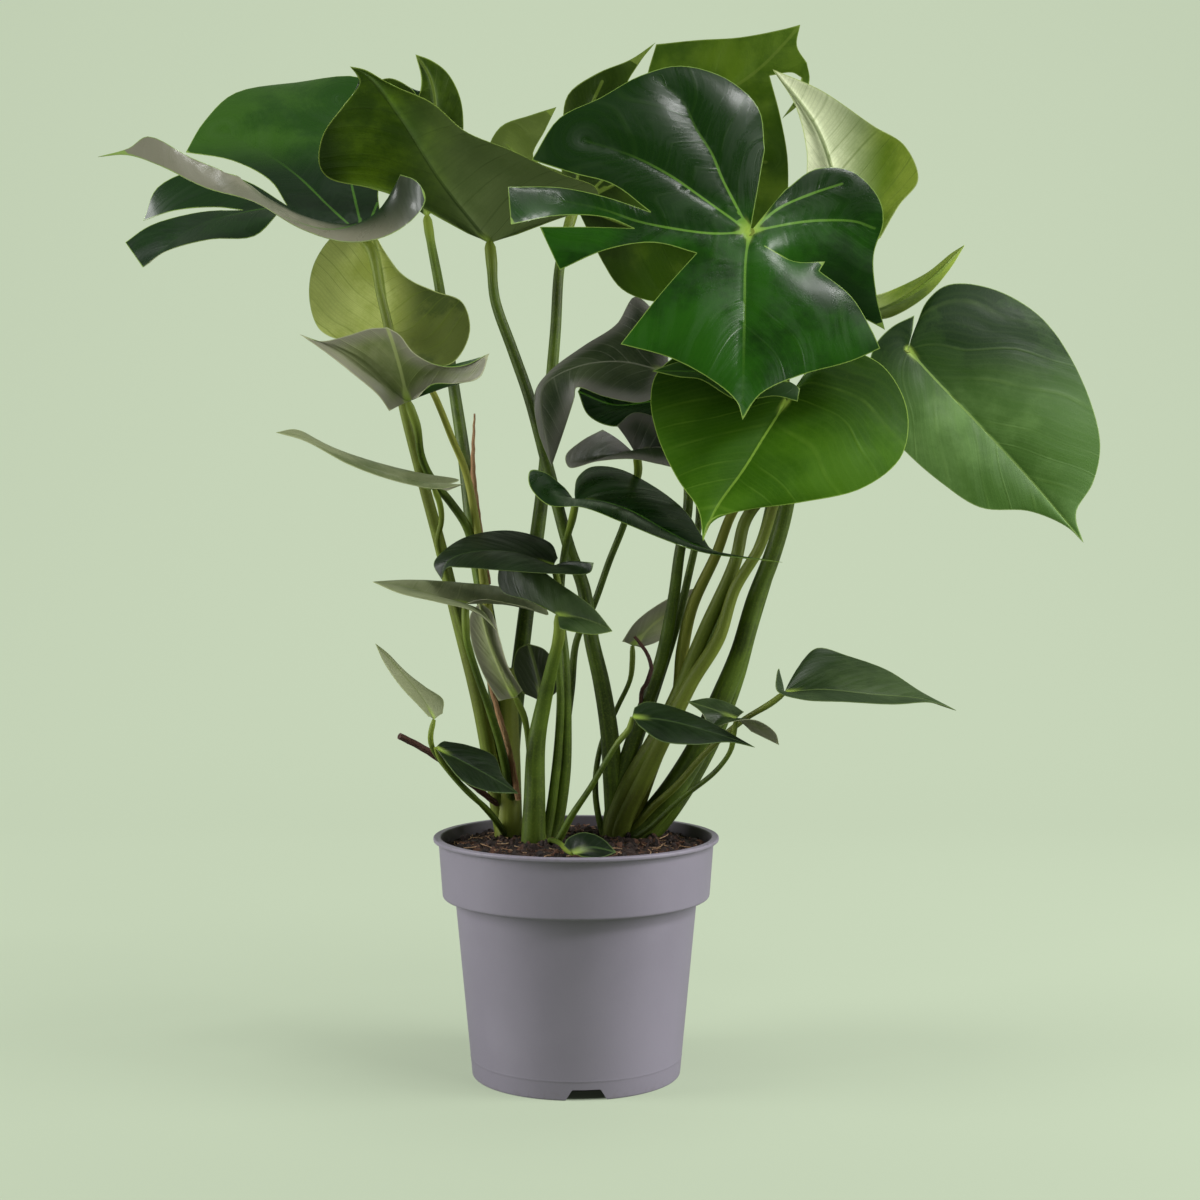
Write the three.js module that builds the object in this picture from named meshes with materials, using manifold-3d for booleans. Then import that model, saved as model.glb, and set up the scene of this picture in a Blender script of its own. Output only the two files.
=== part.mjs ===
// A potted swiss cheese plant: three young Monstera crowns in one grey nursery pot.
// Millimetres, +Z up. The origin is the middle of the pot's underside, and -Y is the plant's front.
import * as THREE from "three";
import { mergeVertices } from "three/addons/utils/BufferGeometryUtils.js";
import Module from "manifold-3d";

const wasm = await Module();
wasm.setup();

// Pot: a thin moulded wall that tapers to a foot ring, with a stacking band and a lip.
const POT_HEIGHT = 200;
const LIP_RADIUS = 120;
const LIP_HEIGHT = 3.2;
const BAND_TOP_RADIUS = 115.5;
const BAND_BOTTOM_RADIUS = 112.5;
const BAND_BOTTOM = 150;
const BODY_TOP_RADIUS = 101.5;
const BASE_RADIUS = 87.5;
const WALL = 2.2;
const FLOOR_DISC_RADIUS = 60;
const CHANNEL_HEIGHT = 10;
const FLOOR_THICKNESS = 3;
const FOOT_RING = 3;
const POT_SEGMENTS = 40;
const NOTCHES = 3;
const NOTCH_TOP_WIDTH = 23;
const NOTCH_BOTTOM_WIDTH = 36;
const NOTCH_HEIGHT = 9;
const NOTCH_TURN = 6;
const DRAIN_RADIUS = 5.5;

// Soil: fills the pot to just under the lip, heaped a little round the crowns.
const SOIL_EDGE_HEIGHT = 190;
const SOIL_HEAP = 5.5;
const SOIL_LUMP = 1.6;
const SOIL_RINGS = [24, 48, 72, 94];
const SOIL_SEED = 7;

// What every piece keeps clear of its neighbour.
const GAP = 0.3;
const STEM_CLEARANCE = 0.42;
const ROOT_DEPTH = 172;

// Blades: a leaf with this many margin points is cut into strips, and a whole one longer than
// LONG_BLADE gets a point between each two.
const BLADE_THICKNESS = 0.8;
const CONE_LENGTH = 5;
const SEAT_GAP = 1;
const CUT_LEAF = 36;
const LONG_BLADE = 150;

// Each leaf blade: join is where the stalk meets it, rib the midrib from there to the tip, edgeA and
// edgeB the two margins from the notch at the stalk round to the tip. A fourth value of 1 is a sharp
// corner, and 2 the inner end of a cut whose strips overlap. Veins up to the margin point numbered in
// fan start at the join, the others along the midrib.
const LEAVES = {
  leaf_front_main: {
    join: [139, -80, 692], up: [0, -1, 0.4], fan: [23, 10],
    rib: [[135, -89, 672], [132, -113, 619], [128, -151, 539]],
    edgeA: [[153, -49, 763], [149, -33, 800], [123, -21, 827], [86, -17, 838], [53, -21, 829],
      [20, -29, 809], [-13, -37, 791], [-35, -53, 754, 1], [0, -58, 742], [30, -62, 733],
      [60, -72, 709, 1], [24, -67, 722], [-12, -63, 730], [-53, -77, 728, 1], [-50, -91, 696, 1],
      [-12, -74, 706], [26, -75, 704], [47, -78, 695, 1], [12, -73, 697], [-28, -74, 697, 1],
      [-12, -80, 662, 1], [25, -87, 677], [63, -84, 683], [96, -88, 674, 1], [67, -104, 640],
      [36, -123, 599, 1], [74, -128, 588], [106, -136, 570], [124, -145, 553], [128, -151, 539]],
    edgeB: [[168, -64, 728], [193, -56, 746], [221, -56, 745], [242, -67, 722], [245, -76, 700],
      [237, -79, 674], [239, -82, 642], [245, -87, 614, 1], [211, -78, 635], [175, -79, 666],
      [150, -85, 680, 2], [173, -91, 667], [197, -91, 667, 1], [192, -95, 659, 1], [215, -108, 638],
      [229, -122, 611], [235, -130, 595, 1], [212, -129, 585], [173, -134, 574], [142, -142, 559],
      [128, -151, 539]],
  },
  leaf_front_low: {
    join: [168, -85, 558], up: [0, -1, 0.4], fan: [3, 2],
    rib: [[150, -97, 531], [132, -109, 503], [109, -123, 471], [99, -134, 447]],
    edgeA: [[157, -76, 580], [128, -68, 598], [92, -67, 600], [66, -75, 582], [60, -85, 559],
      [66, -99, 527], [80, -112, 496], [96, -123, 471], [99, -134, 447]],
    edgeB: [[183, -83, 581], [212, -67, 600], [242, -71, 590], [259, -82, 565],
      [263, -93, 539], [254, -106, 511], [223, -116, 488], [175, -121, 477], [132, -123, 471],
      [105, -127, 463], [99, -134, 447]],
  },
  leaf_front_between: {
    join: [166, -92, 574], up: [0, -0.6, 0.8], fan: [2, 2],
    rib: [[138, -98, 575], [102, -102, 579], [61, -104, 580]],
    edgeA: [[177, -96, 567], [174, -108, 556, 1], [157, -110, 560], [127, -112, 557], [98, -110, 573],
      [82, -108, 575], [61, -104, 580]],
    edgeB: [[180, -86, 579], [171, -82, 591], [139, -86, 595], [103, -92, 593], [79, -99, 587],
      [61, -104, 580]],
  },
  leaf_right_low: {
    join: [270, -45, 603], up: [-0.2, -1, 0.4], fan: [4, 2],
    rib: [[287, -49, 583], [325, -56, 542], [371, -66, 490], [406, -75, 446]],
    edgeA: [[274, -42, 618], [276, -39, 631, 1], [257, -41, 621], [242, -46, 604], [237, -50, 574],
      [247, -62, 541], [265, -66, 519], [293, -70, 494], [324, -73, 474], [364, -71, 471],
      [394, -73, 458], [406, -75, 446]],
    edgeB: [[276, -41, 618], [287, -33, 643], [305, -30, 657], [341, -29, 654], [380, -32, 631],
      [408, -40, 588], [424, -54, 529], [417, -62, 495], [401, -70, 469], [406, -75, 446]],
  },
  leaf_new_rolled: {
    join: [229, -10, 632], up: [0, 1, 0.4], fan: [1, 1],
    rib: [[257, -32, 640], [289, -34, 660], [319, -28, 690]],
    edgeA: [[243, -6, 650], [262, -2, 656], [293, -6, 671], [309, -16, 684], [319, -28, 690]],
    edgeB: [[243, -8, 631], [261, -6, 633], [290, -10, 650], [308, -20, 671], [319, -28, 690]],
  },
  leaf_back_large: {
    join: [-2, 110, 747], up: [0, 1, 0.5], fan: [9, 4],
    rib: [[64, 80, 798], [152, 46, 848], [177, 32, 870], [189, 25, 883]],
    edgeA: [[-27, 119, 733], [-65, 114, 756], [-80, 102, 787], [-68, 90, 811], [-41, 83, 820],
      [-18, 78, 826, 1], [-28, 87, 808], [-39, 98, 786], [-14, 100, 774, 1], [-13, 85, 808],
      [-8, 72, 835], [17, 62, 851], [46, 54, 861], [67, 33, 870, 1], [53, 55, 857], [43, 65, 838],
      [65, 72, 815, 1], [60, 60, 843], [68, 46, 872, 1], [103, 40, 874], [139, 35, 875], [176, 27, 880],
      [189, 25, 883]],
    edgeB: [[11, 119, 721], [22, 127, 699], [40, 135, 675], [70, 136, 664], [115, 130, 667],
      [156, 114, 691], [182, 93, 735], [184, 75, 775], [176, 59, 812], [165, 45, 845, 1], [184, 42, 847],
      [192, 43, 843, 1], [188, 44, 827], [176, 47, 809, 1], [193, 45, 824], [199, 43, 841],
      [196, 37, 854, 1], [187, 32, 867], [189, 25, 883]],
  },
  leaf_back_pale: {
    join: [238, 75, 691], up: [0, 1, 0.4], fan: [1, 1],
    rib: [[225, 57, 750], [204, 41, 802], [166, 27, 846]],
    edgeA: [[213, 70, 709], [199, 60, 742], [197, 47, 782], [186, 36, 818], [166, 27, 846]],
    edgeB: [[264, 69, 711], [279, 61, 738], [294, 54, 758], [281, 46, 786], [253, 41, 802], [207, 32, 830],
      [166, 27, 846]],
  },
  leaf_left_upright: {
    join: [-74, 35, 701], up: [-0.2, 1, 0.6], fan: [2, 2],
    rib: [[-113, -5, 747], [-142, -43, 790], [-165, -69, 817], [-178, -76, 823]],
    edgeA: [[-92, 28, 708], [-117, 15, 720], [-139, 4, 731], [-171, -7, 740], [-203, -16, 746],
      [-210, -25, 755], [-205, -41, 776], [-185, -56, 798], [-171, -66, 813], [-178, -76, 823]],
    edgeB: [[-51, 33, 708], [-12, 29, 722], [18, 24, 732], [17, 15, 744], [-13, 4, 754], [-54, -14, 770],
      [-90, -29, 782], [-116, -48, 801], [-147, -62, 812], [-166, -73, 821], [-178, -76, 823]],
  },
  leaf_far_left: {
    join: [-177, 0, 697], up: [0.1, -0.6, 1], fan: [8, 4],
    rib: [[-212, -5, 709], [-243, 0, 724], [-280, 2, 721], [-321, -5, 706], [-359, -10, 674]],
    edgeA: [[-158, -20, 718], [-151, -32, 730], [-141, -50, 743, 1], [-129, -45, 739], [-122, -38, 727],
      [-129, -50, 709], [-152, -68, 690], [-182, -80, 684], [-216, -90, 693], [-250, -100, 712],
      [-287, -105, 722], [-321, -110, 738], [-346, -112, 746], [-368, -115, 744, 1], [-346, -108, 752],
      [-332, -104, 762], [-300, -98, 747], [-264, -85, 733], [-243, -20, 719, 1], [-263, -28, 697],
      [-299, -30, 694], [-337, -24, 685], [-359, -10, 674]],
    edgeB: [[-164, 8, 721], [-168, 30, 745], [-163, 60, 776], [-157, 100, 824], [-195, 130, 864],
      [-255, 140, 862], [-306, 120, 848], [-329, 95, 817], [-340, 70, 785, 1], [-296, 50, 774],
      [-260, 28, 753], [-242, 6, 728, 1], [-282, 35, 754], [-323, 45, 765], [-359, 45, 750],
      [-370, 40, 721, 1], [-340, 25, 727], [-304, 15, 728], [-279, 6, 724, 1], [-316, 15, 724],
      [-357, 10, 712], [-377, 5, 697, 1], [-359, -10, 674]],
  },
  leaf_back_left: {
    join: [-139, 164, 745], up: [0, 1, 0.4], fan: [1, 1],
    rib: [[-136, 153, 792], [-129, 142, 839], [-134, 136, 867], [-146, 131, 885]],
    edgeA: [[-157, 161, 758], [-179, 154, 788], [-191, 145, 826], [-185, 138, 859], [-170, 136, 865],
      [-152, 138, 857], [-144, 140, 847, 1], [-141, 136, 864], [-146, 131, 885]],
    edgeB: [[-121, 160, 762], [-109, 153, 792], [-104, 146, 825], [-107, 140, 850], [-118, 135, 870],
      [-132, 132, 880], [-146, 131, 885]],
  },
  leaf_left_pale: {
    join: [-159, 20, 626], up: [0, 1, 0.3], fan: [2, 3],
    rib: [[-163, 24, 660], [-168, 28, 690], [-174, 30, 713]],
    edgeA: [[-179, 19, 615], [-199, 19, 617], [-217, 20, 626], [-226, 23, 651], [-223, 26, 681],
      [-207, 29, 706], [-191, 30, 715], [-174, 30, 713]],
    edgeB: [[-145, 18, 609], [-123, 16, 595], [-104, 17, 598], [-90, 20, 624], [-97, 23, 650],
      [-120, 24, 659], [-145, 25, 671], [-160, 27, 689], [-174, 30, 713]],
  },
  leaf_left_cupped: {
    join: [-138, -25, 562], up: [0, 1, 0.6], fan: [3, 3],
    rib: [[-142, -39, 585], [-148, -43, 607], [-153, -41, 621]],
    edgeA: [[-153, -29, 554, 1], [-161, -35, 566], [-183, -45, 585], [-202, -52, 600],
      [-222, -55, 614, 1], [-207, -50, 609], [-185, -45, 614], [-167, -42, 620], [-153, -41, 621]],
    edgeB: [[-129, -31, 565], [-117, -41, 575], [-96, -51, 575], [-77, -58, 579], [-69, -61, 598, 1],
      [-89, -53, 589], [-110, -49, 589], [-131, -45, 600], [-143, -42, 615], [-153, -41, 621]],
  },
  leaf_left_narrow: {
    join: [-116, -35, 490], up: [0, -0.2, 1], fan: [1, 1],
    rib: [[-139, -43, 497], [-183, -49, 512], [-223, -51, 532], [-242, -53, 535]],
    edgeA: [[-104, -46, 488], [-91, -61, 493], [-108, -73, 489], [-139, -77, 494], [-180, -69, 508],
      [-218, -59, 528], [-242, -53, 535]],
    edgeB: [[-105, -26, 494], [-97, -15, 498], [-130, -11, 504], [-167, -15, 513], [-202, -27, 525],
      [-227, -43, 538], [-242, -53, 535]],
  },
  leaf_mid_dark_left: {
    join: [-18, -35, 427], up: [0, -0.3, 1], fan: [2, 3],
    rib: [[-50, -35, 438], [-87, -35, 438], [-105, -35, 430], [-110, -35, 416]],
    edgeA: [[-15, -17, 433], [-22, 1, 446], [-54, 11, 456], [-89, 3, 452], [-109, -13, 440],
      [-117, -27, 428], [-110, -35, 416]],
    edgeB: [[0, -50, 431], [15, -67, 430, 1], [12, -65, 422], [-12, -73, 421], [-60, -79, 424],
      [-93, -61, 426], [-105, -45, 425], [-110, -35, 416]],
  },
  leaf_mid_left_long: {
    join: [-90, -40, 396], up: [0, -0.3, 1], fan: [3, 3],
    rib: [[-119, -42, 404], [-143, -42, 411], [-166, -40, 414]],
    edgeA: [[-74, -48, 389], [-63, -62, 375, 1], [-78, -72, 390], [-108, -74, 398], [-141, -62, 405],
      [-166, -40, 414]],
    edgeB: [[-71, -44, 400], [-42, -28, 393], [-23, -10, 386], [-35, 4, 401], [-66, 12, 409], [-95, 6, 412],
      [-133, -18, 415], [-166, -40, 414]],
  },
  leaf_mid_front: {
    join: [-14, -55, 387], up: [-0.3, -0.2, 1], fan: [3, 1],
    rib: [[0, -59, 386], [17, -65, 381], [30, -69, 375]],
    edgeA: [[-39, -43, 399], [-61, -31, 406], [-64, -27, 420], [-58, -31, 433], [-39, -37, 430],
      [-13, -47, 413], [14, -59, 394], [30, -69, 375]],
    edgeB: [[-12, -75, 377], [0, -85, 375], [14, -83, 373], [25, -75, 374], [30, -69, 375]],
  },
  leaf_hanging_pale: {
    join: [-51, 0, 316], up: [-0.2, 1, 0.3], fan: [1, 1],
    rib: [[-61, -4, 335], [-73, -2, 364], [-81, 0, 396]],
    edgeA: [[-45, 0, 322], [-57, -6, 343], [-64, -4, 366], [-71, 0, 388], [-81, 0, 396]],
    edgeB: [[-65, 0, 313], [-78, 2, 335], [-88, 2, 363], [-89, 2, 385], [-81, 0, 396]],
  },
  leaf_low_left_curl: {
    join: [-116, -40, 301], up: [0.3, -0.1, 1], fan: [1, 1],
    rib: [[-124, -45, 318], [-141, -50, 340], [-156, -50, 357], [-163, -48, 364]],
    edgeA: [[-110, -28, 305], [-110, -22, 316], [-124, -28, 327], [-140, -38, 341], [-153, -46, 356],
      [-163, -48, 364]],
    edgeB: [[-119, -55, 305], [-126, -62, 314], [-141, -62, 330], [-155, -56, 349], [-163, -48, 364]],
  },
  leaf_low_left_folded: {
    join: [-114, -50, 279], up: [-0.2, -0.5, 1], fan: [1, 1],
    rib: [[-90, -45, 266], [-66, -40, 252], [-47, -38, 240]],
    edgeA: [[-108, -35, 283], [-89, -22, 278], [-68, -15, 268], [-61, -22, 253], [-47, -38, 240]],
    edgeB: [[-103, -65, 267], [-91, -72, 255], [-71, -62, 245], [-47, -38, 240]],
  },
  leaf_centre_heart: {
    join: [0, -35, 478], up: [0, -0.4, 1], fan: [3, 3],
    rib: [[13, -36, 481], [43, -42, 473], [75, -45, 455], [105, -48, 441], [168, -50, 430]],
    edgeA: [[-1, -15, 488], [1, 0, 500], [13, 15, 510], [34, 18, 509], [64, 5, 494], [91, -15, 472],
      [104, -35, 451], [114, -46, 438], [168, -50, 430]],
    edgeB: [[-9, -40, 491], [-23, -49, 502], [-36, -62, 504], [-36, -72, 491], [-21, -80, 476],
      [6, -82, 474], [38, -80, 462], [70, -70, 449], [103, -55, 438], [168, -50, 430]],
  },
  leaf_mid_grey: {
    join: [51, 0, 518], up: [0, -0.5, 1], fan: [3, 1],
    rib: [[66, -6, 525], [82, -12, 521], [98, -20, 512]],
    edgeA: [[22, -25, 539], [5, -40, 529], [-8, -50, 516], [-5, -52, 507], [18, -50, 512],
      [46, -45, 514], [68, -42, 510], [86, -33, 507], [98, -20, 512]],
    edgeB: [[34, 2, 544], [48, 7, 555], [66, 2, 551], [82, -8, 536], [98, -20, 512]],
  },
  leaf_mid_black: {
    join: [96, 23, 568], up: [0, -0.5, 1], fan: [1, 1],
    rib: [[66, 27, 566], [33, 31, 563], [1, 35, 575]],
    edgeA: [[96, 31, 585], [71, 43, 597], [37, 47, 598], [11, 43, 590], [1, 35, 575]],
    edgeB: [[79, 13, 555], [55, 9, 548], [30, 13, 544], [10, 23, 554], [1, 35, 575]],
  },
  leaf_behind_main: {
    join: [76, -25, 586], up: [-0.2, -0.4, 1], fan: [2, 1],
    rib: [[36, -25, 595], [-1, -25, 590], [-27, -29, 573], [-20, -17, 509]],
    edgeA: [[77, -5, 611], [64, 5, 641], [49, 8, 652], [34, 5, 629], [6, 0, 610], [-22, -10, 588],
      [-34, -20, 569], [-31, -15, 538], [-20, -17, 509]],
    edgeB: [[65, -50, 563], [52, -55, 559], [24, -52, 564], [1, -45, 572], [-1, -37, 564], [-9, -25, 540],
      [-20, -17, 509]],
  },
  leaf_small_behind: {
    join: [48, 45, 357], up: [0, -0.4, 1], fan: [1, 1],
    rib: [[65, 55, 375], [90, 60, 392], [109, 62, 408]],
    edgeA: [[39, 40, 361], [50, 45, 377], [68, 51, 391], [91, 57, 403], [109, 62, 408]],
    edgeB: [[55, 55, 355], [71, 66, 360], [92, 72, 376], [105, 67, 393], [109, 62, 408]],
  },
  leaf_low_right_dark: {
    join: [46, -60, 305], up: [0, -0.4, 1], fan: [1, 1],
    rib: [[72, -63, 303], [110, -65, 293], [145, -65, 281]],
    edgeA: [[48, -52, 312], [58, -44, 316], [79, -42, 312], [108, -50, 301], [132, -58, 288],
      [145, -65, 281]],
    edgeB: [[51, -70, 299], [68, -82, 288], [95, -82, 285], [124, -74, 286], [145, -65, 281]],
  },
  leaf_low_right_small: {
    join: [132, -35, 301], up: [0, -0.4, 1], fan: [4, 1],
    rib: [[118, -35, 307], [92, -31, 315]],
    edgeA: [[144, -36, 291], [167, -37, 280, 1], [163, -45, 291], [146, -53, 302], [127, -57, 301],
      [109, -47, 293, 1], [104, -47, 306], [92, -31, 315]],
    edgeB: [[139, -25, 306], [129, -17, 312], [112, -19, 317], [92, -31, 315]],
  },
  leaf_low_right_long: {
    join: [171, -40, 323], up: [0, -0.4, 1], fan: [3, 4],
    rib: [[200, -42, 326], [242, -44, 322], [285, -44, 318], [311, -44, 309]],
    edgeA: [[180, -25, 335], [189, -12, 348], [202, -5, 358], [228, 0, 351], [259, -10, 340],
      [285, -30, 323], [311, -44, 309]],
    edgeB: [[167, -46, 335], [165, -55, 344], [162, -66, 338], [162, -74, 327], [181, -82, 321],
      [215, -80, 319], [256, -68, 316], [290, -52, 316], [311, -44, 309]],
  },
  leaf_rim_front: {
    join: [-2, -84, 198], up: [0, -0.5, 1], fan: [1, 1],
    rib: [[12, -90, 204], [33, -96, 201]],
    edgeA: [[-9, -82, 204], [-6, -78, 209], [6, -78, 214], [20, -82, 211], [33, -96, 201]],
    edgeB: [[6, -94, 197], [20, -98, 197], [33, -96, 201]],
  },
  leaf_behind_stems: {
    join: [-27, 15, 310], up: [0, 1, 0.3], fan: [1, 1],
    rib: [[-31, 19, 325], [-36, 23, 344], [-41, 27, 360]],
    edgeA: [[-46, 20, 318], [-54, 23, 339], [-50, 25, 355], [-41, 27, 360]],
    edgeB: [[-16, 15, 320], [-17, 19, 340], [-27, 24, 355], [-41, 27, 360]],
  },
};

// Each crown: a short stem sunk in the soil, and the leaf stalks that grow from it. A stalk's path
// runs from its blade down to the crown, with its radius at the blade, in the middle and at the base.
const CROWNS = {
  stems_left: { foot: [-59, 42], radius: [13, 10.5], top: 338, stalks: [
    { leaf: "leaf_far_left", r: [3.6, 4.6, 8], path: [
      [-177, 0, 697], [-170, -4, 689], [-163, -8, 656], [-156, -8, 626], [-149, -4, 590], [-144, 0, 560],
      [-132, 8, 509], [-115, 22, 441], [-104, 26, 393], [-84, 30, 311], [-73, 36, 251], [-64, 42, 198]] },
    { leaf: "leaf_left_cupped", r: [3, 3.6, 5], path: [
      [-138, -25, 562], [-131, -20, 541], [-129, -10, 520], [-124, 5, 504], [-117, 15, 493],
      [-107, 28, 480], [-94, 40, 459], [-87, 45, 431], [-78, 45, 379], [-64, 42, 250]] },
    { leaf: "leaf_left_pale", r: [1.2, 3, 5], path: [
      [-159, 20, 626], [-148, 8, 608], [-132, -2, 588], [-121, -2, 574], [-114, 8, 558], [-106, 20, 536],
      [-95, 35, 507], [-85, 40, 455], [-80, 42, 414], [-73, 42, 362], [-64, 42, 276]] },
    { leaf: "leaf_back_left", r: [3.4, 6, 9], path: [
      [-139, 164, 745], [-134, 146, 720], [-124, 121, 674], [-109, 85, 585], [-99, 68, 525],
      [-90, 55, 455], [-80, 48, 397], [-71, 45, 336], [-59, 42, 198]] },
    { leaf: "leaf_back_large", r: [2.6, 5.5, 9], path: [
      [-2, 110, 747], [-10, 100, 718], [-16, 92, 686], [-19, 86, 635], [-22, 82, 597], [-28, 76, 517],
      [-32, 72, 476], [-44, 60, 387], [-56, 45, 276], [-59, 42, 207]] },
    { leaf: "leaf_left_narrow", r: [2, 2.4, 3], path: [
      [-116, -35, 490], [-112, -28, 479], [-111, -20, 465], [-115, -10, 448], [-112, 2, 431],
      [-101, 20, 387], [-87, 27, 325]] },
    { leaf: "leaf_mid_left_long", r: [2.6, 3, 4.5], path: [
      [-90, -40, 396], [-90, -40, 383], [-89, -36, 366], [-83, -22, 341], [-73, -5, 308], [-63, 15, 269],
      [-56, 38, 216]] },
    { leaf: "leaf_low_left_curl", r: [1.8, 2.2, 3], path: [
      [-116, -40, 301], [-119, -38, 288], [-118, -32, 277], [-107, -15, 257], [-92, 0, 237],
      [-74, 18, 217], [-62, 35, 194]] },
    { leaf: "leaf_low_left_folded", r: [1.2, 2.2, 3], path: [
      [-114, -50, 279], [-110, -45, 269], [-99, -28, 251], [-84, -8, 232], [-68, 15, 209],
      [-61, 35, 192]] },
  ] },
  stems_centre: { foot: [-35, 3], radius: [13, 10], top: 228, stalks: [
    { leaf: "leaf_mid_front", r: [3, 7, 12.5], path: [
      [-14, -55, 387], [-13, -50, 373], [-19, -35, 346], [-26, -20, 316], [-33, -12, 279],
      [-35, -5, 229], [-36, 2, 190]] },
    { leaf: "leaf_centre_heart", r: [2.6, 3.4, 6], path: [
      [0, -35, 478], [-3, -22, 465], [-8, -8, 447], [-12, 0, 420], [-13, -2, 389], [-9, -2, 348],
      [-8, 2, 297], [-10, 8, 246], [-20, 10, 196]] },
    { leaf: "leaf_mid_dark_left", r: [2.2, 3, 5], path: [
      [-18, -35, 427], [-15, -28, 414], [-14, -24, 390], [-15, -15, 357], [-13, -8, 315], [-17, 0, 255],
      [-26, 5, 197]] },
    { leaf: "leaf_mid_grey", r: [3, 3, 5], path: [
      [51, 0, 518], [52, 16, 504], [41, 38, 463], [28, 45, 430], [14, 48, 391], [0, 48, 362],
      [-5, 45, 319], [-11, 40, 276], [-18, 30, 226], [-26, 18, 193]] },
    { leaf: "leaf_hanging_pale", r: [2.2, 2.6, 4], path: [
      [-51, 0, 316], [-44, 4, 300], [-40, 6, 275], [-37, 5, 229]] },
    { leaf: "leaf_behind_stems", r: [2.2, 2.6, 4], path: [
      [-27, 15, 310], [-29, 14, 283], [-32, 10, 228]] },
    { leaf: "leaf_low_right_dark", r: [1.8, 2.6, 4.5], path: [
      [46, -60, 305], [44, -58, 296], [34, -54, 283], [12, -40, 245], [-3, -28, 221], [-17, -12, 194],
      [-25, 0, 186]] },
    { leaf: "leaf_rim_front", r: [1.8, 2.2, 3], path: [
      [-2, -84, 198], [-7, -70, 199], [-14, -40, 200], [-23, -12, 197], [-29, 0, 190]] },
  ] },
  stems_right: { foot: [36, 34], radius: [16, 12], top: 232, stalks: [
    { leaf: "leaf_left_upright", r: [4, 5.5, 10], path: [
      [-74, 35, 701], [-72, 28, 684], [-69, 26, 652], [-54, 25, 609], [-40, 24, 569], [-24, 22, 509],
      [-6, 20, 441], [6, 19, 408], [13, 20, 363], [21, 22, 328], [28, 26, 284], [31, 30, 243],
      [34, 35, 199]] },
    { leaf: "leaf_behind_main", r: [3, 5, 9], path: [
      [76, -25, 586], [82, -8, 575], [92, 5, 524], [94, 8, 476], [87, 10, 437], [82, 12, 398],
      [71, 15, 343], [59, 20, 308], [41, 28, 252], [30, 35, 199]] },
    { leaf: "leaf_mid_black", r: [2.6, 3.4, 6], path: [
      [96, 23, 568], [101, 24, 545], [104, 23, 465], [95, 22, 417], [85, 24, 376], [67, 26, 320],
      [46, 30, 256]] },
    { leaf: "leaf_new_rolled", r: [2.4, 4.5, 7], path: [
      [229, -10, 632], [219, 2, 611], [188, 10, 549], [155, 12, 503], [132, 12, 472], [118, 12, 436],
      [98, 14, 392], [90, 18, 355], [86, 22, 312], [63, 30, 251]] },
    { leaf: "leaf_right_low", r: [3.6, 5.5, 10], path: [
      [270, -45, 603], [266, -32, 594], [239, -15, 556], [195, -5, 515], [158, -2, 486], [142, 0, 465],
      [133, 0, 429], [109, 2, 374], [82, 8, 309], [67, 12, 279], [44, 22, 237], [31, 32, 194]] },
    { leaf: "leaf_front_low", r: [3.4, 5, 10], path: [
      [168, -85, 558], [173, -72, 548], [174, -50, 521], [164, -28, 481], [152, -18, 442],
      [132, -12, 407], [119, -8, 366], [97, 0, 330], [80, 5, 296], [58, 15, 249], [37, 28, 200]] },
    { leaf: "leaf_front_between", r: [0.9, 2.4, 3.6], path: [
      [166, -92, 574], [169, -76, 580], [171, -54, 574], [170, -38, 546], [163, -24, 500],
      [153, -14, 450], [130, -6, 400], [97, 4, 330], [50, 18, 240]] },
    { leaf: "leaf_front_main", r: [4.2, 7.5, 12], path: [
      [139, -80, 692], [143, -62, 682], [154, -42, 643], [173, -20, 564], [180, -8, 515], [175, 0, 473],
      [165, 5, 436], [151, 8, 398], [138, 12, 352], [123, 15, 315], [105, 20, 274], [82, 26, 235],
      [59, 33, 204]] },
    { leaf: "leaf_back_pale", r: [3.6, 6, 10], path: [
      [238, 75, 691], [234, 65, 657], [214, 50, 586], [192, 40, 521], [176, 34, 465], [164, 32, 423],
      [148, 32, 371], [136, 34, 328], [116, 36, 277], [89, 38, 229], [67, 40, 200]] },
    { leaf: "leaf_low_right_long", r: [2, 2.8, 4], path: [
      [171, -40, 323], [160, -36, 314], [138, -25, 299], [110, -8, 272], [84, 8, 240], [62, 20, 218],
      [44, 30, 193]] },
    { leaf: "leaf_low_right_small", r: [1.8, 2.2, 3.2], path: [
      [132, -35, 301], [130, -34, 289], [128, -29, 275], [116, -18, 256], [88, -2, 231], [62, 15, 204],
      [41, 28, 187]] },
    { leaf: "leaf_small_behind", r: [2, 2.2, 3.2], path: [
      [48, 45, 357], [48, 44, 345], [46, 43, 328], [35, 42, 304], [21, 40, 272], [16, 38, 233],
      [23, 36, 195]] },
  ] },
};

// Brown pieces among the stalks: bare roots and papery leaf sheaths, each with its own radii.
const BROWN = {
  root_right: { r: [1.4, 1.9, 1.7], path: [
    [49, 6, 367], [57, 3, 357], [63, 0, 343], [60, 2, 330], [55, 8, 320], [55, 18, 306]] },
  root_left: { r: [2.8, 3, 2.6], path: [
    [-146, -24, 286], [-130, -12, 276], [-114, -2, 264], [-94, 10, 246], [-68, 35, 221]] },
  sheath_spike: { r: [0.8, 2.8, 3.2], path: [
    [-89, 62, 558], [-90, 58, 509], [-84, 50, 455], [-77, 48, 410]] },
  sheath_papery: { r: [1.2, 3, 2.6], path: [
    [-78, 22, 339], [-66, 22, 299], [-56, 24, 260], [-50, 30, 226]] },
};

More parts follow.
